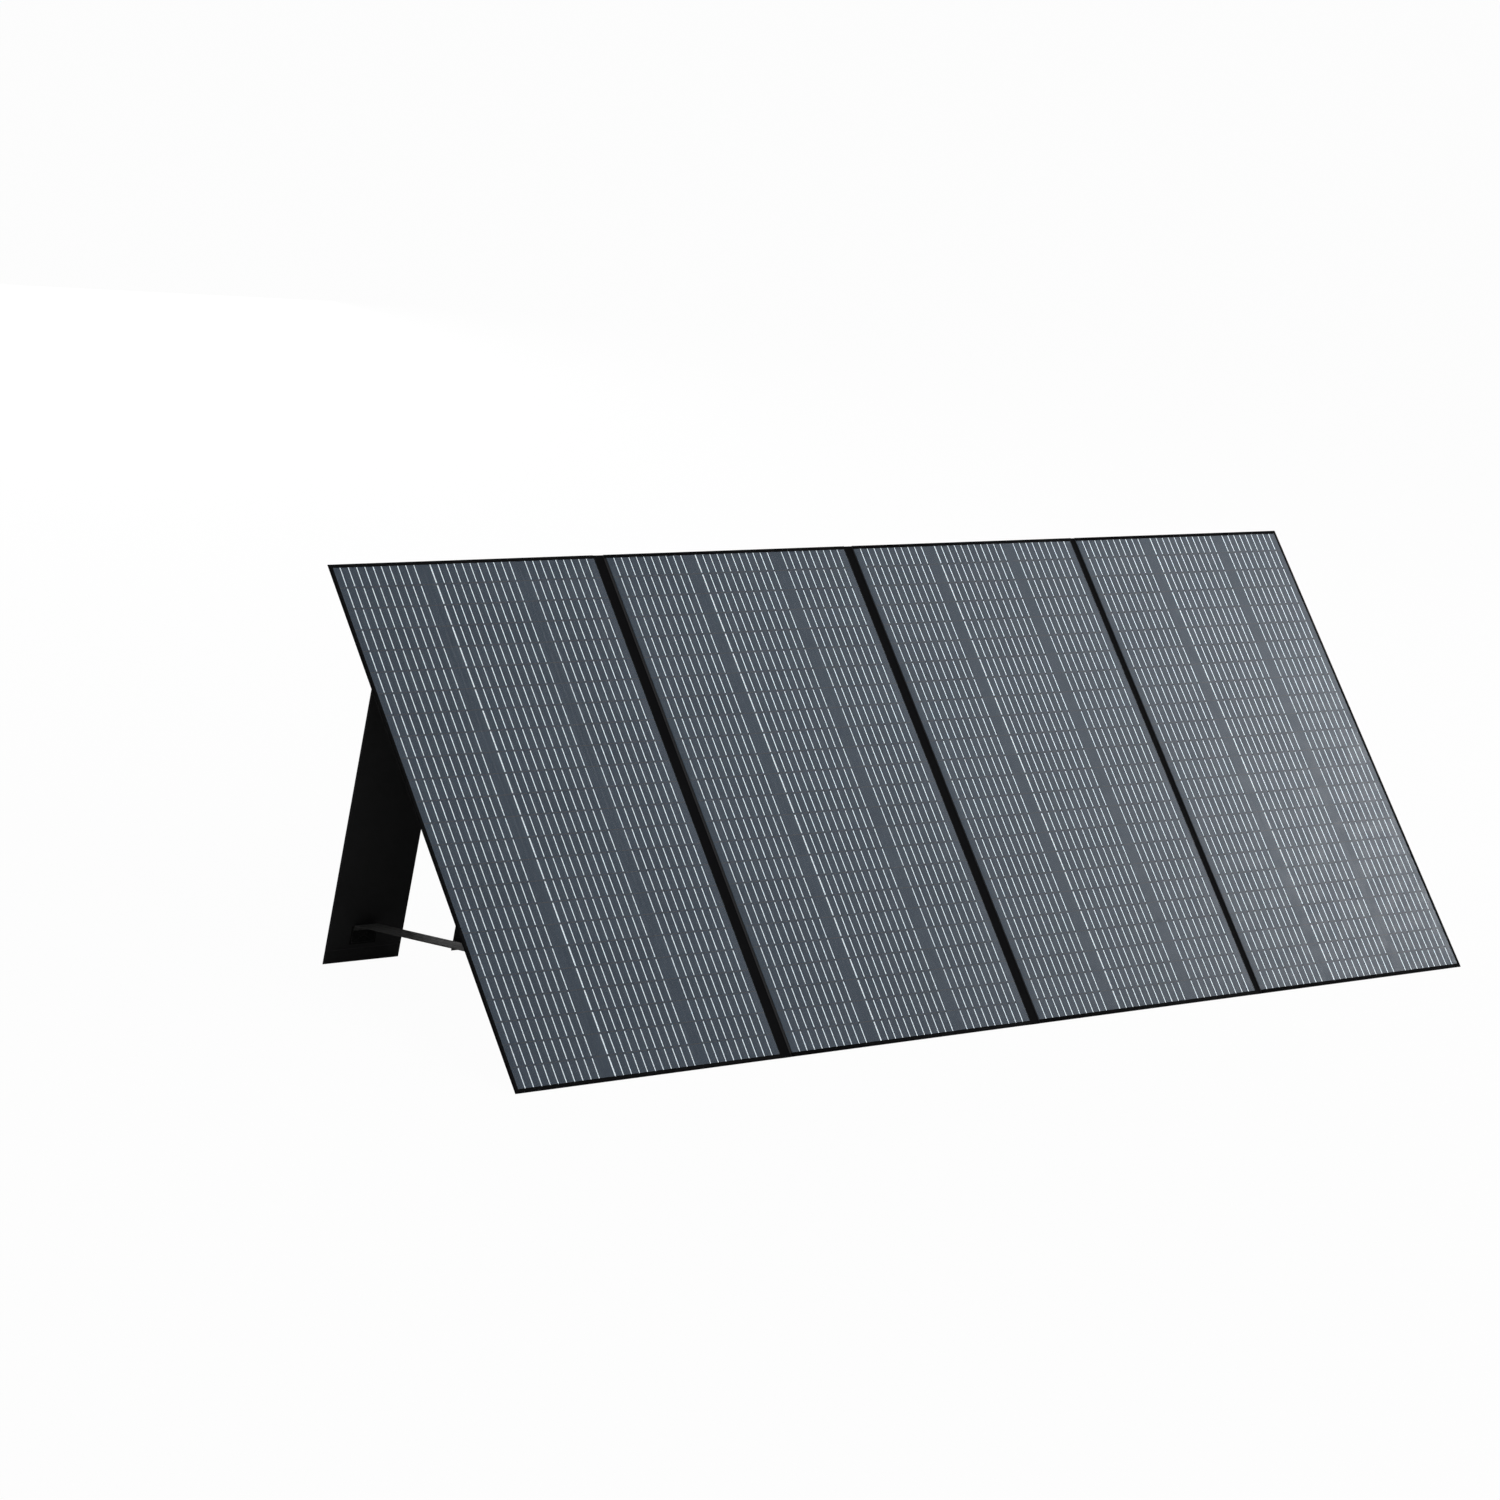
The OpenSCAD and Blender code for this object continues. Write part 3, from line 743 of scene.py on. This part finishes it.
def leg_skin(k):
    """Fabric sleeve of one leg, pressed in along its seam and its lower hem."""
    low, high = local_box(f"leg_sleeve_{k}", UPRIGHT)

    def face(sign):
        def relief(x, y):
            rim = min(x - low.x, high.x - x, y - low.y, high.y - y)
            seam = math.exp(-(((rim - SEAM_INSET) / (1.2 * MM)) ** 2))
            hem = math.exp(-(((y - low.y - HEM_HEIGHT) / (1.6 * MM)) ** 2))
            soft = noise.noise(Vector((x * 26, y * 11, k * 5.3 + sign)))
            return -0.3 * MM * max(seam, hem) + 0.14 * MM * soft

        return relief

    made = pad(
        f"leg_skin_{k}", low, high, LEG_FABRIC, UPRIGHT, 6 * MM,
        front=face(1), back=face(-1), rows=[low.y + HEM_HEIGHT], insets=(2.2 * MM, 3.4 * MM, 5 * MM),
    )
    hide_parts(f"leg_sleeve_{k}")
    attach(made, f"leg_{k}")
    lines = []
    for z, outward in ((high.z, FORWARDS), (low.z, BACKWARDS)):
        lines += rectangle_lines(low, high, z, outward, SEAM_INSET)
        ends = [Vector((x, low.y + HEM_HEIGHT, z)) for x in (low.x + SEAM_INSET, high.x - SEAM_INSET)]
        lines.append((*ends, outward))
    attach(stitches(f"leg_seam_{k}", lines, UPRIGHT, proud=-0.15 * MM), f"leg_{k}")


def leg_patch(k):
    low, high = local_box(f"leg_patch_{k}", UPRIGHT)

    def pile(x, y):
        return 0.12 * MM * noise.noise(Vector((x * 400, y * 400, k)))

    # The patch's dark colour is painted shade.
    made = pad(f"patch_pad_{k}", low, high, SHADED_PATCH, UPRIGHT, 1.6 * MM, front=pile)
    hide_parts(f"leg_patch_{k}")
    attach(made, f"leg_{k}")
    lines = crossed_box_lines(low, high, high.z, FORWARDS, 3 * MM)
    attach(stitches(f"patch_stitches_{k}", lines, UPRIGHT, proud=SUNK), f"leg_{k}")


def curve_through(points, count=8):
    """Smooth path through a few points (Catmull-Rom)."""
    ends = [2 * points[0] - points[1]] + list(points) + [2 * points[-1] - points[-2]]
    path = []
    for k in range(1, len(ends) - 2):
        a, b, c, d = ends[k - 1 : k + 3]
        for step in range(count):
            t = step / count
            square, cube = 2 * a - 5 * b + 4 * c - d, 3 * b - a - 3 * c + d
            path.append(0.5 * (2 * b + (c - a) * t + square * t**2 + cube * t**3))
    return path + [points[-1]]


def on_slope(y, z, x=0.0):
    return SLOPE @ Vector((x, y, z))


FLAP_T = 0.7 * MM
FLAP_REACH = 38 * MM


def leg_flap(k):
    """Webbing sewn to the rear cover above the leg, down over the hinge line onto the leg's rear face."""
    panel = f"panel_{LEG_PANEL[k]}"
    axis = joint_at(f"leg_{k}_fold")
    sleeve_low, sleeve_high = local_box(f"leg_sleeve_{k}", UPRIGHT)
    between = (sleeve_low.x - MM, sleeve_high.x + MM)
    tape_low, tape_high = local_box(f"leg_tapes_{LEG_PANEL[k]}", SLOPE, between)
    face = tape_low.z + FLAP_T / 2 - 0.1 * MM
    rear = -sleeve_low.z + FLAP_T / 2 + 0.05 * MM
    top = sleeve_high.y
    points = [
        on_slope(tape_high.y, face),
        on_slope(tape_low.y + 8 * MM, face),
        on_slope(tape_low.y, face - 0.2 * MM),
        Vector((0, rear - 0.6 * MM, top - 1.5 * MM)),
        Vector((0, rear, top - 7 * MM)),
        Vector((0, rear, top - FLAP_REACH)),
    ]
    centre = Vector((axis.x, 0, 0))
    width = sleeve_high.x - sleeve_low.x - 1 * MM
    made = sweep(f"leg_flap_{k}", curve_through(points), width, FLAP_T, WEBBING, "webbing", centre=centre)
    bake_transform(made)
    if k in (1, 3):
        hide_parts(f"leg_tapes_{LEG_PANEL[k]}")
    inset = Vector((3 * MM, 3 * MM, 0))
    outer = face - FLAP_T / 2
    lines = rectangle_lines(tape_low + inset, tape_high - inset, outer, BACKWARDS)
    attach(stitches(f"flap_seam_{k}", lines, SLOPE), panel)
    low = Vector((sleeve_low.x + 3 * MM, top - FLAP_REACH + 3 * MM, 0))
    high = Vector((sleeve_high.x - 3 * MM, top - 9 * MM, 0))
    lines = rectangle_lines(low, high, -rear - FLAP_T / 2, BACKWARDS)
    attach(stitches(f"flap_leg_seam_{k}", lines, UPRIGHT), f"leg_{k}")


STRAP_SAG = 0.8 * MM
STRAP_TAIL = 7 * MM
# Places along the free length, close together near its ends, where a smooth path would overshoot.
STRAP_SHARES = (0.01, 0.03, 0.09, 0.25, 0.5, 0.75, 0.91, 0.97, 0.99)
STRAP_T = 1.4 * MM


def leg_strap(k):
    """Webbing from the patch on the leg to the rear cover. It crumples onto the cover as the leg folds."""
    panel = f"panel_{LEG_PANEL[k]}"
    patch_low, patch_high = local_box(f"leg_patch_{k}", UPRIGHT)
    between = (patch_low.x - MM, patch_high.x + MM)
    strap_low, strap_high = local_box(f"leg_straps_{LEG_PANEL[k]}", SLOPE, between)
    end_low, end_high = local_box(f"strap_anchors_{LEG_PANEL[k]}", SLOPE, between)
    face = -patch_high.z - STRAP_T / 2 - 0.15 * MM
    top = patch_high.y
    foot = Vector((0, face - 2.2 * MM, top + 2.2 * MM))
    head = on_slope(end_high.y + 4.5 * MM, end_low.z - 2.6 * MM)
    points = [
        Vector((0, face, top - STRAP_TAIL)),
        Vector((0, face, top - STRAP_TAIL / 2)),
        Vector((0, face - 0.5 * MM, top - 0.3 * MM)),
        foot,
        *[foot.lerp(head, s) - Vector((0, 0, STRAP_SAG * 4 * s * (1 - s))) for s in STRAP_SHARES],
        head,
        on_slope(end_high.y + 1 * MM, end_low.z - 1.0 * MM),
        on_slope(end_high.y - 4 * MM, end_low.z - 0.5 * MM),
    ]
    centre = Vector(((patch_low.x + patch_high.x) / 2, 0, 0))
    width = strap_high.x - strap_low.x
    path = curve_through(points)
    # The strap and its sewn end use the lighter webbing with its painted highlight.
    made = sweep(f"leg_strap_{k}", path, width, STRAP_T, LIT_STRAP_WEBBING, "strap_webbing", centre=centre)
    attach(made, panel)
    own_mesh(made)
    end = pad(f"strap_end_{k}", end_low, end_high, LIT_STRAP_WEBBING, SLOPE, 4 * MM)
    if k in (1, 3):
        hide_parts(f"leg_straps_{LEG_PANEL[k]}")
        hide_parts(f"strap_anchors_{LEG_PANEL[k]}")
    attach(end, panel)
    lines = crossed_box_lines(end_low, end_high - Vector((0, 5 * MM, 0)), end_low.z, BACKWARDS, 4 * MM)
    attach(stitches(f"strap_end_stitches_{k}", lines, SLOPE), panel)


# ---------------------------------------------------------------- rear hardware

HANDLE_W = 28 * MM
HANDLE_T = 2.2 * MM
HANDLE_CORNER = 16 * MM
HANDLE_ROOT = 5 * MM
GRIP_L = 92 * MM
GRIP_T = 3.1 * MM


def handle(i):
    """U of webbing that hangs from its sewn ends, with a folded grip, on two short bending pieces."""
    low, high = local_box(f"handle_{i}", SLOPE)
    axis = SLOPE.inverted() @ joint_at(f"handle_{i}_swing")
    loop, panel = f"handle_loop_{i}", f"panel_{i}"
    left, right = low.x + HANDLE_W / 2, high.x - HANDLE_W / 2
    floor_y = low.y + HANDLE_W / 2
    path = [Vector((left, axis.y - HANDLE_ROOT, axis.z))]
    for turn in range(0, 91, 10):
        along, rise = (HANDLE_CORNER * (1 - f(math.radians(turn))) for f in (math.cos, math.sin))
        path.append(Vector((left + along, floor_y + rise, axis.z)))
    middle = (left + right) / 2
    path += [Vector((2 * middle - p.x, p.y, p.z)) for p in reversed(path)]
    flat = {"side": None, "place": SLOPE}
    made = sweep(f"handle_webbing_{i}", path, HANDLE_W, HANDLE_T, WEBBING, "webbing", **flat)
    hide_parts(f"handle_{i}")
    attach(made, loop)
    grip_path = [Vector((middle - GRIP_L / 2 + GRIP_L * t / 12, floor_y, axis.z)) for t in range(13)]
    grip_w = HANDLE_W + 2 * MM
    grip = sweep(f"handle_grip_{i}", grip_path, grip_w, GRIP_T, REAR_FABRIC, "rear_fabric", **flat)
    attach(grip, loop)
    outer = axis.z - GRIP_T / 2
    grip_low = Vector((middle - GRIP_L / 2, floor_y - HANDLE_W / 2, 0))
    grip_high = Vector((middle + GRIP_L / 2, floor_y + HANDLE_W / 2, 0))
    lines = rectangle_lines(grip_low, grip_high, outer, BACKWARDS, 3 * MM)
    for x in (left, right):
        for edge in (-1, 1):
            at = x + edge * (HANDLE_W / 2 - 2.5 * MM)
            begin = Vector((at, axis.y - HANDLE_ROOT - 2 * MM, axis.z - HANDLE_T / 2))
            lines.append((begin, Vector((at, floor_y + HANDLE_CORNER, axis.z - HANDLE_T / 2)), BACKWARDS))
    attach(stitches(f"handle_stitches_{i}", lines, SLOPE, proud=SUNK), loop)
    for side, x in enumerate((left, right)):
        between = (x - HANDLE_W / 2 - MM, x + HANDLE_W / 2 + MM)
        tab_low, tab_high = local_box(f"handle_tabs_{i}", SLOPE, between)
        name = f"handle_tab_{i}_{side + 1}"
        tab = pad(name, tab_low, tab_high, WEBBING, SLOPE, 3 * MM)
        if side == 0:
            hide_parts(f"handle_tabs_{i}")
        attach(tab, panel)
        lines = crossed_box_lines(tab_low, tab_high, tab_low.z, BACKWARDS, 3 * MM)
        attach(stitches(f"{name}_stitches", lines, SLOPE), panel)
        bend = [
            Vector((x, tab_low.y + 4 * MM, tab_low.z - 0.3 * MM)),
            Vector((x, tab_low.y + 0.5 * MM, tab_low.z - 0.4 * MM)),
            Vector((x, axis.y, axis.z)),
            Vector((x, axis.y - HANDLE_ROOT - 1 * MM, axis.z)),
        ]
        name = f"handle_root_{i}_{side + 1}"
        made = sweep(name, curve_through(bend), HANDLE_W - 1 * MM, 0.9 * MM, WEBBING, "webbing", place=SLOPE)
        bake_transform(made)


def tube(name, path, radius, material, sides=20):
    """Round cable along a path in the slope frame."""
    points, uv, run = [], [], 0.0
    for k, here in enumerate(path):
        ahead = (path[min(len(path) - 1, k + 1)] - path[max(0, k - 1)]).normalized()
        first = ahead.cross(FORWARDS).normalized()
        second = first.cross(ahead)
        run += (here - path[max(0, k - 1)]).length
        for s in range(sides):
            turn = 2 * math.pi * s / sides
            points.append(here + first * radius * math.cos(turn) + second * radius * math.sin(turn))
            uv.append((radius * turn, run))
    return piece(name, points, quads(sides, len(path)), material, uv=uv)


LEAD_BOW = 5 * MM
LEAD_STRAIGHT = 26 * MM
LEAD_R = 3 * MM


def leads():
    """The two output leads, slightly bowed between the glands and the connectors."""
    for side, name in ((-1, "plug"), (1, "socket")):
        body = local_box(f"{name}_connector", SLOPE)
        x = (body[0].x + body[1].x) / 2
        low, high = local_box("output_leads", SLOPE, (x - 5 * MM, x + 5 * MM))
        z = (low.z + high.z) / 2
        path = []
        for k in range(41):
            y = high.y + (low.y - high.y) * k / 40
            share = (high.y - LEAD_STRAIGHT - y) / (high.y - low.y - 2 * LEAD_STRAIGHT)
            bow = math.sin(math.pi * min(1.0, max(0.0, share))) ** 2
            path.append(Vector((x + side * LEAD_BOW * bow, y, z - 2 * MM * bow)))
        made = tube(f"lead_{name}", path, LEAD_R, CABLE)
        if side == -1:
            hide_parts("output_leads")
        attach(made, "panel_2")


POCKET_FLANGE = 9 * MM
POCKET_ROUND = 26 * MM
POCKET_TOP_ROUND = 9 * MM
POCKET_STEP = 4 * MM
POCKET_CAP = 6 * MM
POCKET_SEAT = REAR - 0.7 * MM
ZIP_BAND = 15 * MM
SIM_FRAMES = 20


def pocket():
    """Zipped cable pocket: a soft shell that sags between its sewn flange and the flat zip band."""
    low, high = local_box("cable_pocket", SLOPE)
    zip_y = local_box("zip_slider", SLOPE)[1].y - 4.5 * MM
    columns = round((high.x - low.x) / POCKET_STEP)
    rows = round((high.y - low.y) / POCKET_STEP)
    depth = low.z - REAR + 1.2 * MM
    points, pinned = [], []
    for r in range(rows + 1):
        for c in range(columns + 1):
            x = low.x + (high.x - low.x) * c / columns
            y = low.y + (high.y - low.y) * r / rows
            across = min(x - low.x, high.x - x) - POCKET_FLANGE
            above = (high.y - y - POCKET_FLANGE) * POCKET_ROUND / POCKET_TOP_ROUND
            along = min(y - low.y - POCKET_FLANGE, above)
            rim = min(across, along)
            if across < POCKET_ROUND and along < POCKET_ROUND:
                rim = POCKET_ROUND - math.hypot(POCKET_ROUND - across, POCKET_ROUND - along)
            share = min(1.0, max(0.0, rim / POCKET_ROUND))
            raised = math.sqrt(1 - (1 - share) ** 2)
            points.append(Vector((x, y, POCKET_SEAT + depth * raised)))
            on_zip = abs(y - zip_y) < ZIP_BAND and share >= 1.0
            pinned.append(share <= 0.0 or on_zip)
    wide = columns + 1
    faces = [
        (r * wide + c, (r + 1) * wide + c, (r + 1) * wide + c + 1, r * wide + c + 1)
        for r in range(rows)
        for c in range(columns)
    ]
    made = piece("pocket_shell", points, faces, POCKET_FABRIC)
    sag(made, pinned, POCKET_CAP)
    thickened = made.modifiers.new("solidify", "SOLIDIFY")
    thickened.thickness = 1.0 * MM
    thickened.offset = -1.0
    smoothed = made.modifiers.new("subsurf", "SUBSURF")
    smoothed.levels = smoothed.render_levels = 1
    apply_modifiers(made)
    made.data.polygons.foreach_set("use_smooth", [True] * len(made.data.polygons))
    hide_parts("cable_pocket")
    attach(made, "panel_2")
    outer = REAR - 1.3 * MM
    lines = []
    for inset in (3 * MM, 6 * MM):
        lines += rectangle_lines(low, high, outer, BACKWARDS, inset)
    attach(stitches("pocket_seam", lines, SLOPE), "panel_2")
    zipper(low, high, zip_y)


def apply_modifiers(made):
    bpy.context.view_layer.update()
    evaluated = made.evaluated_get(bpy.context.evaluated_depsgraph_get())
    mesh = bpy.data.meshes.new_from_object(evaluated)
    made.modifiers.clear()
    made.data = mesh


def sag(made, pinned, cap):
    """Cloth simulation with the pinned points held, and a limit on how far any point may move."""
    rest = [v.co.copy() for v in made.data.vertices]
    group = made.vertex_groups.new(name="held")
    group.add([k for k, held in enumerate(pinned) if held], 1.0, "REPLACE")
    cloth = made.modifiers.new("cloth", "CLOTH")
    settings = cloth.settings
    settings.quality = 6
    settings.mass = 0.3
    settings.tension_stiffness = 12
    settings.compression_stiffness = 6
    settings.shear_stiffness = 4
    settings.bending_stiffness = 0.4
    settings.shrink_min = -0.05
    settings.vertex_group_mass = "held"
    settings.use_pressure = True
    settings.uniform_pressure_force = 0.6
    cloth.point_cache.frame_end = SIM_FRAMES
    for frame_number in range(1, SIM_FRAMES + 1):
        bpy.context.scene.frame_set(frame_number)
    apply_modifiers(made)
    for vertex, before in zip(made.data.vertices, rest):
        moved = vertex.co - before
        if moved.length > cap:
            vertex.co = before + moved * (cap / moved.length)
        vertex.co.z = min(vertex.co.z, POCKET_SEAT)
    made.vertex_groups.clear()
    bpy.context.scene.frame_set(1)


TOOTH_PITCH = 2.4 * MM


def zipper(low, high, zip_y):
    """Two tapes and interlocking teeth along the flat band, under the slider."""
    margin = 24 * MM
    left, right = low.x + margin - 8 * MM, high.x - margin + 8 * MM
    surface_z = low.z + 0.9 * MM
    lines = []
    for side, name in ((-1, "lower"), (1, "upper")):
        y = zip_y + side * 7.5 * MM
        path = [Vector((left + (right - left) * k / 24, y, surface_z - 0.75 * MM)) for k in range(25)]
        name = f"zip_tape_{name}"
        tape = sweep(name, path, 12.5 * MM, 0.8 * MM, BINDING, "pocket_fabric", side=None, place=SLOPE)
        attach(tape, "panel_2")
        ends = [Vector((x, y + side * 4 * MM, surface_z - 1.2 * MM)) for x in (left, right)]
        lines.append((*ends, BACKWARDS))
    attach(stitches("zip_seam", lines, SLOPE), "panel_2")
    points, faces = [], []
    count = int((right - left - 6 * MM) / TOOTH_PITCH)
    for k in range(count):
        side = 1 if k % 2 else -1
        x = left + 3 * MM + k * TOOTH_PITCH
        y = zip_y + side * 1.0 * MM
        z = surface_z - 1.5 * MM
        base = len(points)
        for dz, grow in ((0.5 * MM, 1.0), (-0.2 * MM, 1.0), (-0.55 * MM, 0.6)):
            for dx, dy in ((-1, -1), (1, -1), (1, 1), (-1, 1)):
                points.append((x + dx * 0.95 * MM * grow, y + dy * 1.7 * MM * grow, z + dz))
        for ring in (base, base + 4):
            faces += [(ring + j, ring + 4 + j, ring + 4 + (j + 1) % 4, ring + (j + 1) % 4) for j in range(4)]
        faces += [(base, base + 1, base + 2, base + 3), (base + 11, base + 10, base + 9, base + 8)]
    teeth = piece("zip_teeth", points, faces, ZIP_TEETH, smooth=False)
    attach(teeth, "panel_2")


# ---------------------------------------------------------------- carried-over CAD nodes


def finish_node(name, material, bevel=0.0):
    """Gives a CAD node its material and softens its edges."""
    node = frame["nodes"][name]
    node.data.materials.clear()
    node.data.materials.append(material)
    if bevel:
        soft = node.modifiers.new("soft edges", "BEVEL")
        soft.width = bevel
        soft.segments = 3
        soft.limit_method = "ANGLE"
        soft.angle_limit = math.radians(30)
        soft.harden_normals = False


def carried_over():
    for i in LAMINATES:
        finish_node(f"cells_{i}", CELL)
        finish_node(f"backing_board_{i}", BOARD)
        finish_node(f"leg_board_{i}", LEG_BOARD)
    for n in HINGES:
        finish_node(f"hinge_jumpers_{n}", COPPER)
    finish_node("junction_box", BOX_PLASTIC, 0.7 * MM)
    finish_node("junction_lid", BOX_PLASTIC, 0.9 * MM)
    finish_node("bypass_diodes", DIODE, 0.2 * MM)
    finish_node("plug_connector", CONNECTOR, 0.3 * MM)
    finish_node("socket_connector", CONNECTOR, 0.3 * MM)
    finish_node("zip_slider", ZIP_METAL, 0.35 * MM)


# ---------------------------------------------------------------- stage


FLOOR_REACH = 150
AMBIENT = 0.30
WORLD_GLOW = 0.984


def stage():
    floor_mesh = bpy.data.meshes.new("floor")
    corners = [(x * FLOOR_REACH, y * FLOOR_REACH, 0) for x, y in ((-1, -1), (1, -1), (1, 1), (-1, 1))]
    floor_mesh.from_pydata(corners, [], [(0, 1, 2, 3)])
    floor_mesh.materials.append(floor_material())
    floor = bpy.data.objects.new("floor", floor_mesh)
    bpy.context.scene.collection.objects.link(floor)
    world = bpy.data.worlds.new("studio")
    bpy.context.scene.world = world
    world.use_nodes = True
    tree = world.node_tree
    seen = add(tree, "ShaderNodeLightPath").outputs["Is Camera Ray"]
    put(tree, tree.nodes["Background"].inputs["Color"], rgb(1.0, 1.0, 1.0))
    put(tree, tree.nodes["Background"].inputs["Strength"], ramp(tree, seen, 0.0, 1.0, AMBIENT, WORLD_GLOW))
    bpy.context.scene.view_settings.view_transform = "Standard"


def light(name, place, aim, size, power):
    made = bpy.data.lights.new(name, "AREA")
    made.size = size
    made.energy = power
    lamp = bpy.data.objects.new(name, made)
    bpy.context.scene.collection.objects.link(lamp)
    lamp.location = place
    lamp.visible_camera = False
    lamp.rotation_euler = (Vector(aim) - Vector(place)).to_track_quat("-Z", "Y").to_euler()


CAMERA_PLACE = Vector((-6.1762, -5.6775, 2.7497))
CAMERA_AIM = Vector((-0.112, 0.437, 0.502))
CAMERA_ROLL = math.radians(11.23)
CAMERA_LENS = 116.0
CAMERA_SHIFT = -0.0867


def camera():
    made = bpy.data.cameras.new("camera")
    made.lens = CAMERA_LENS
    made.sensor_width = 36
    made.shift_y = CAMERA_SHIFT
    made.clip_end = 100
    holder = bpy.data.objects.new("camera", made)
    bpy.context.scene.collection.objects.link(holder)
    aim = (CAMERA_AIM - CAMERA_PLACE).to_track_quat("-Z", "Y").to_matrix().to_4x4()
    holder.matrix_world = Matrix.Translation(CAMERA_PLACE) @ aim @ Matrix.Rotation(CAMERA_ROLL, 4, "Z")
    bpy.context.scene.camera = holder


# ---------------------------------------------------------------- build

for i in LAMINATES:
    film(i)
    ribbon_lines(i)
    rear_skin(i)
    edge_tape(i)
for n in HINGES:
    hinge_fabric(n)
    hinge_lip(n)
for k in LEG_PANEL:
    leg_skin(k)
    leg_patch(k)
    leg_flap(k)
    leg_strap(k)
for i in (1, 2):
    handle(i)
leads()
pocket()
carried_over()
stage()
light("key", (4.2, -1.0, 2.3), (0.2, 0, 0.35), 1.0, 37)
light("fill", (1.0, -5.0, 6.0), (0, 0, 0.3), 5.0, 110)
light("back", (0.6, 4.6, 0.9), (0, 0.1, 0.35), 3.0, 150)
camera()
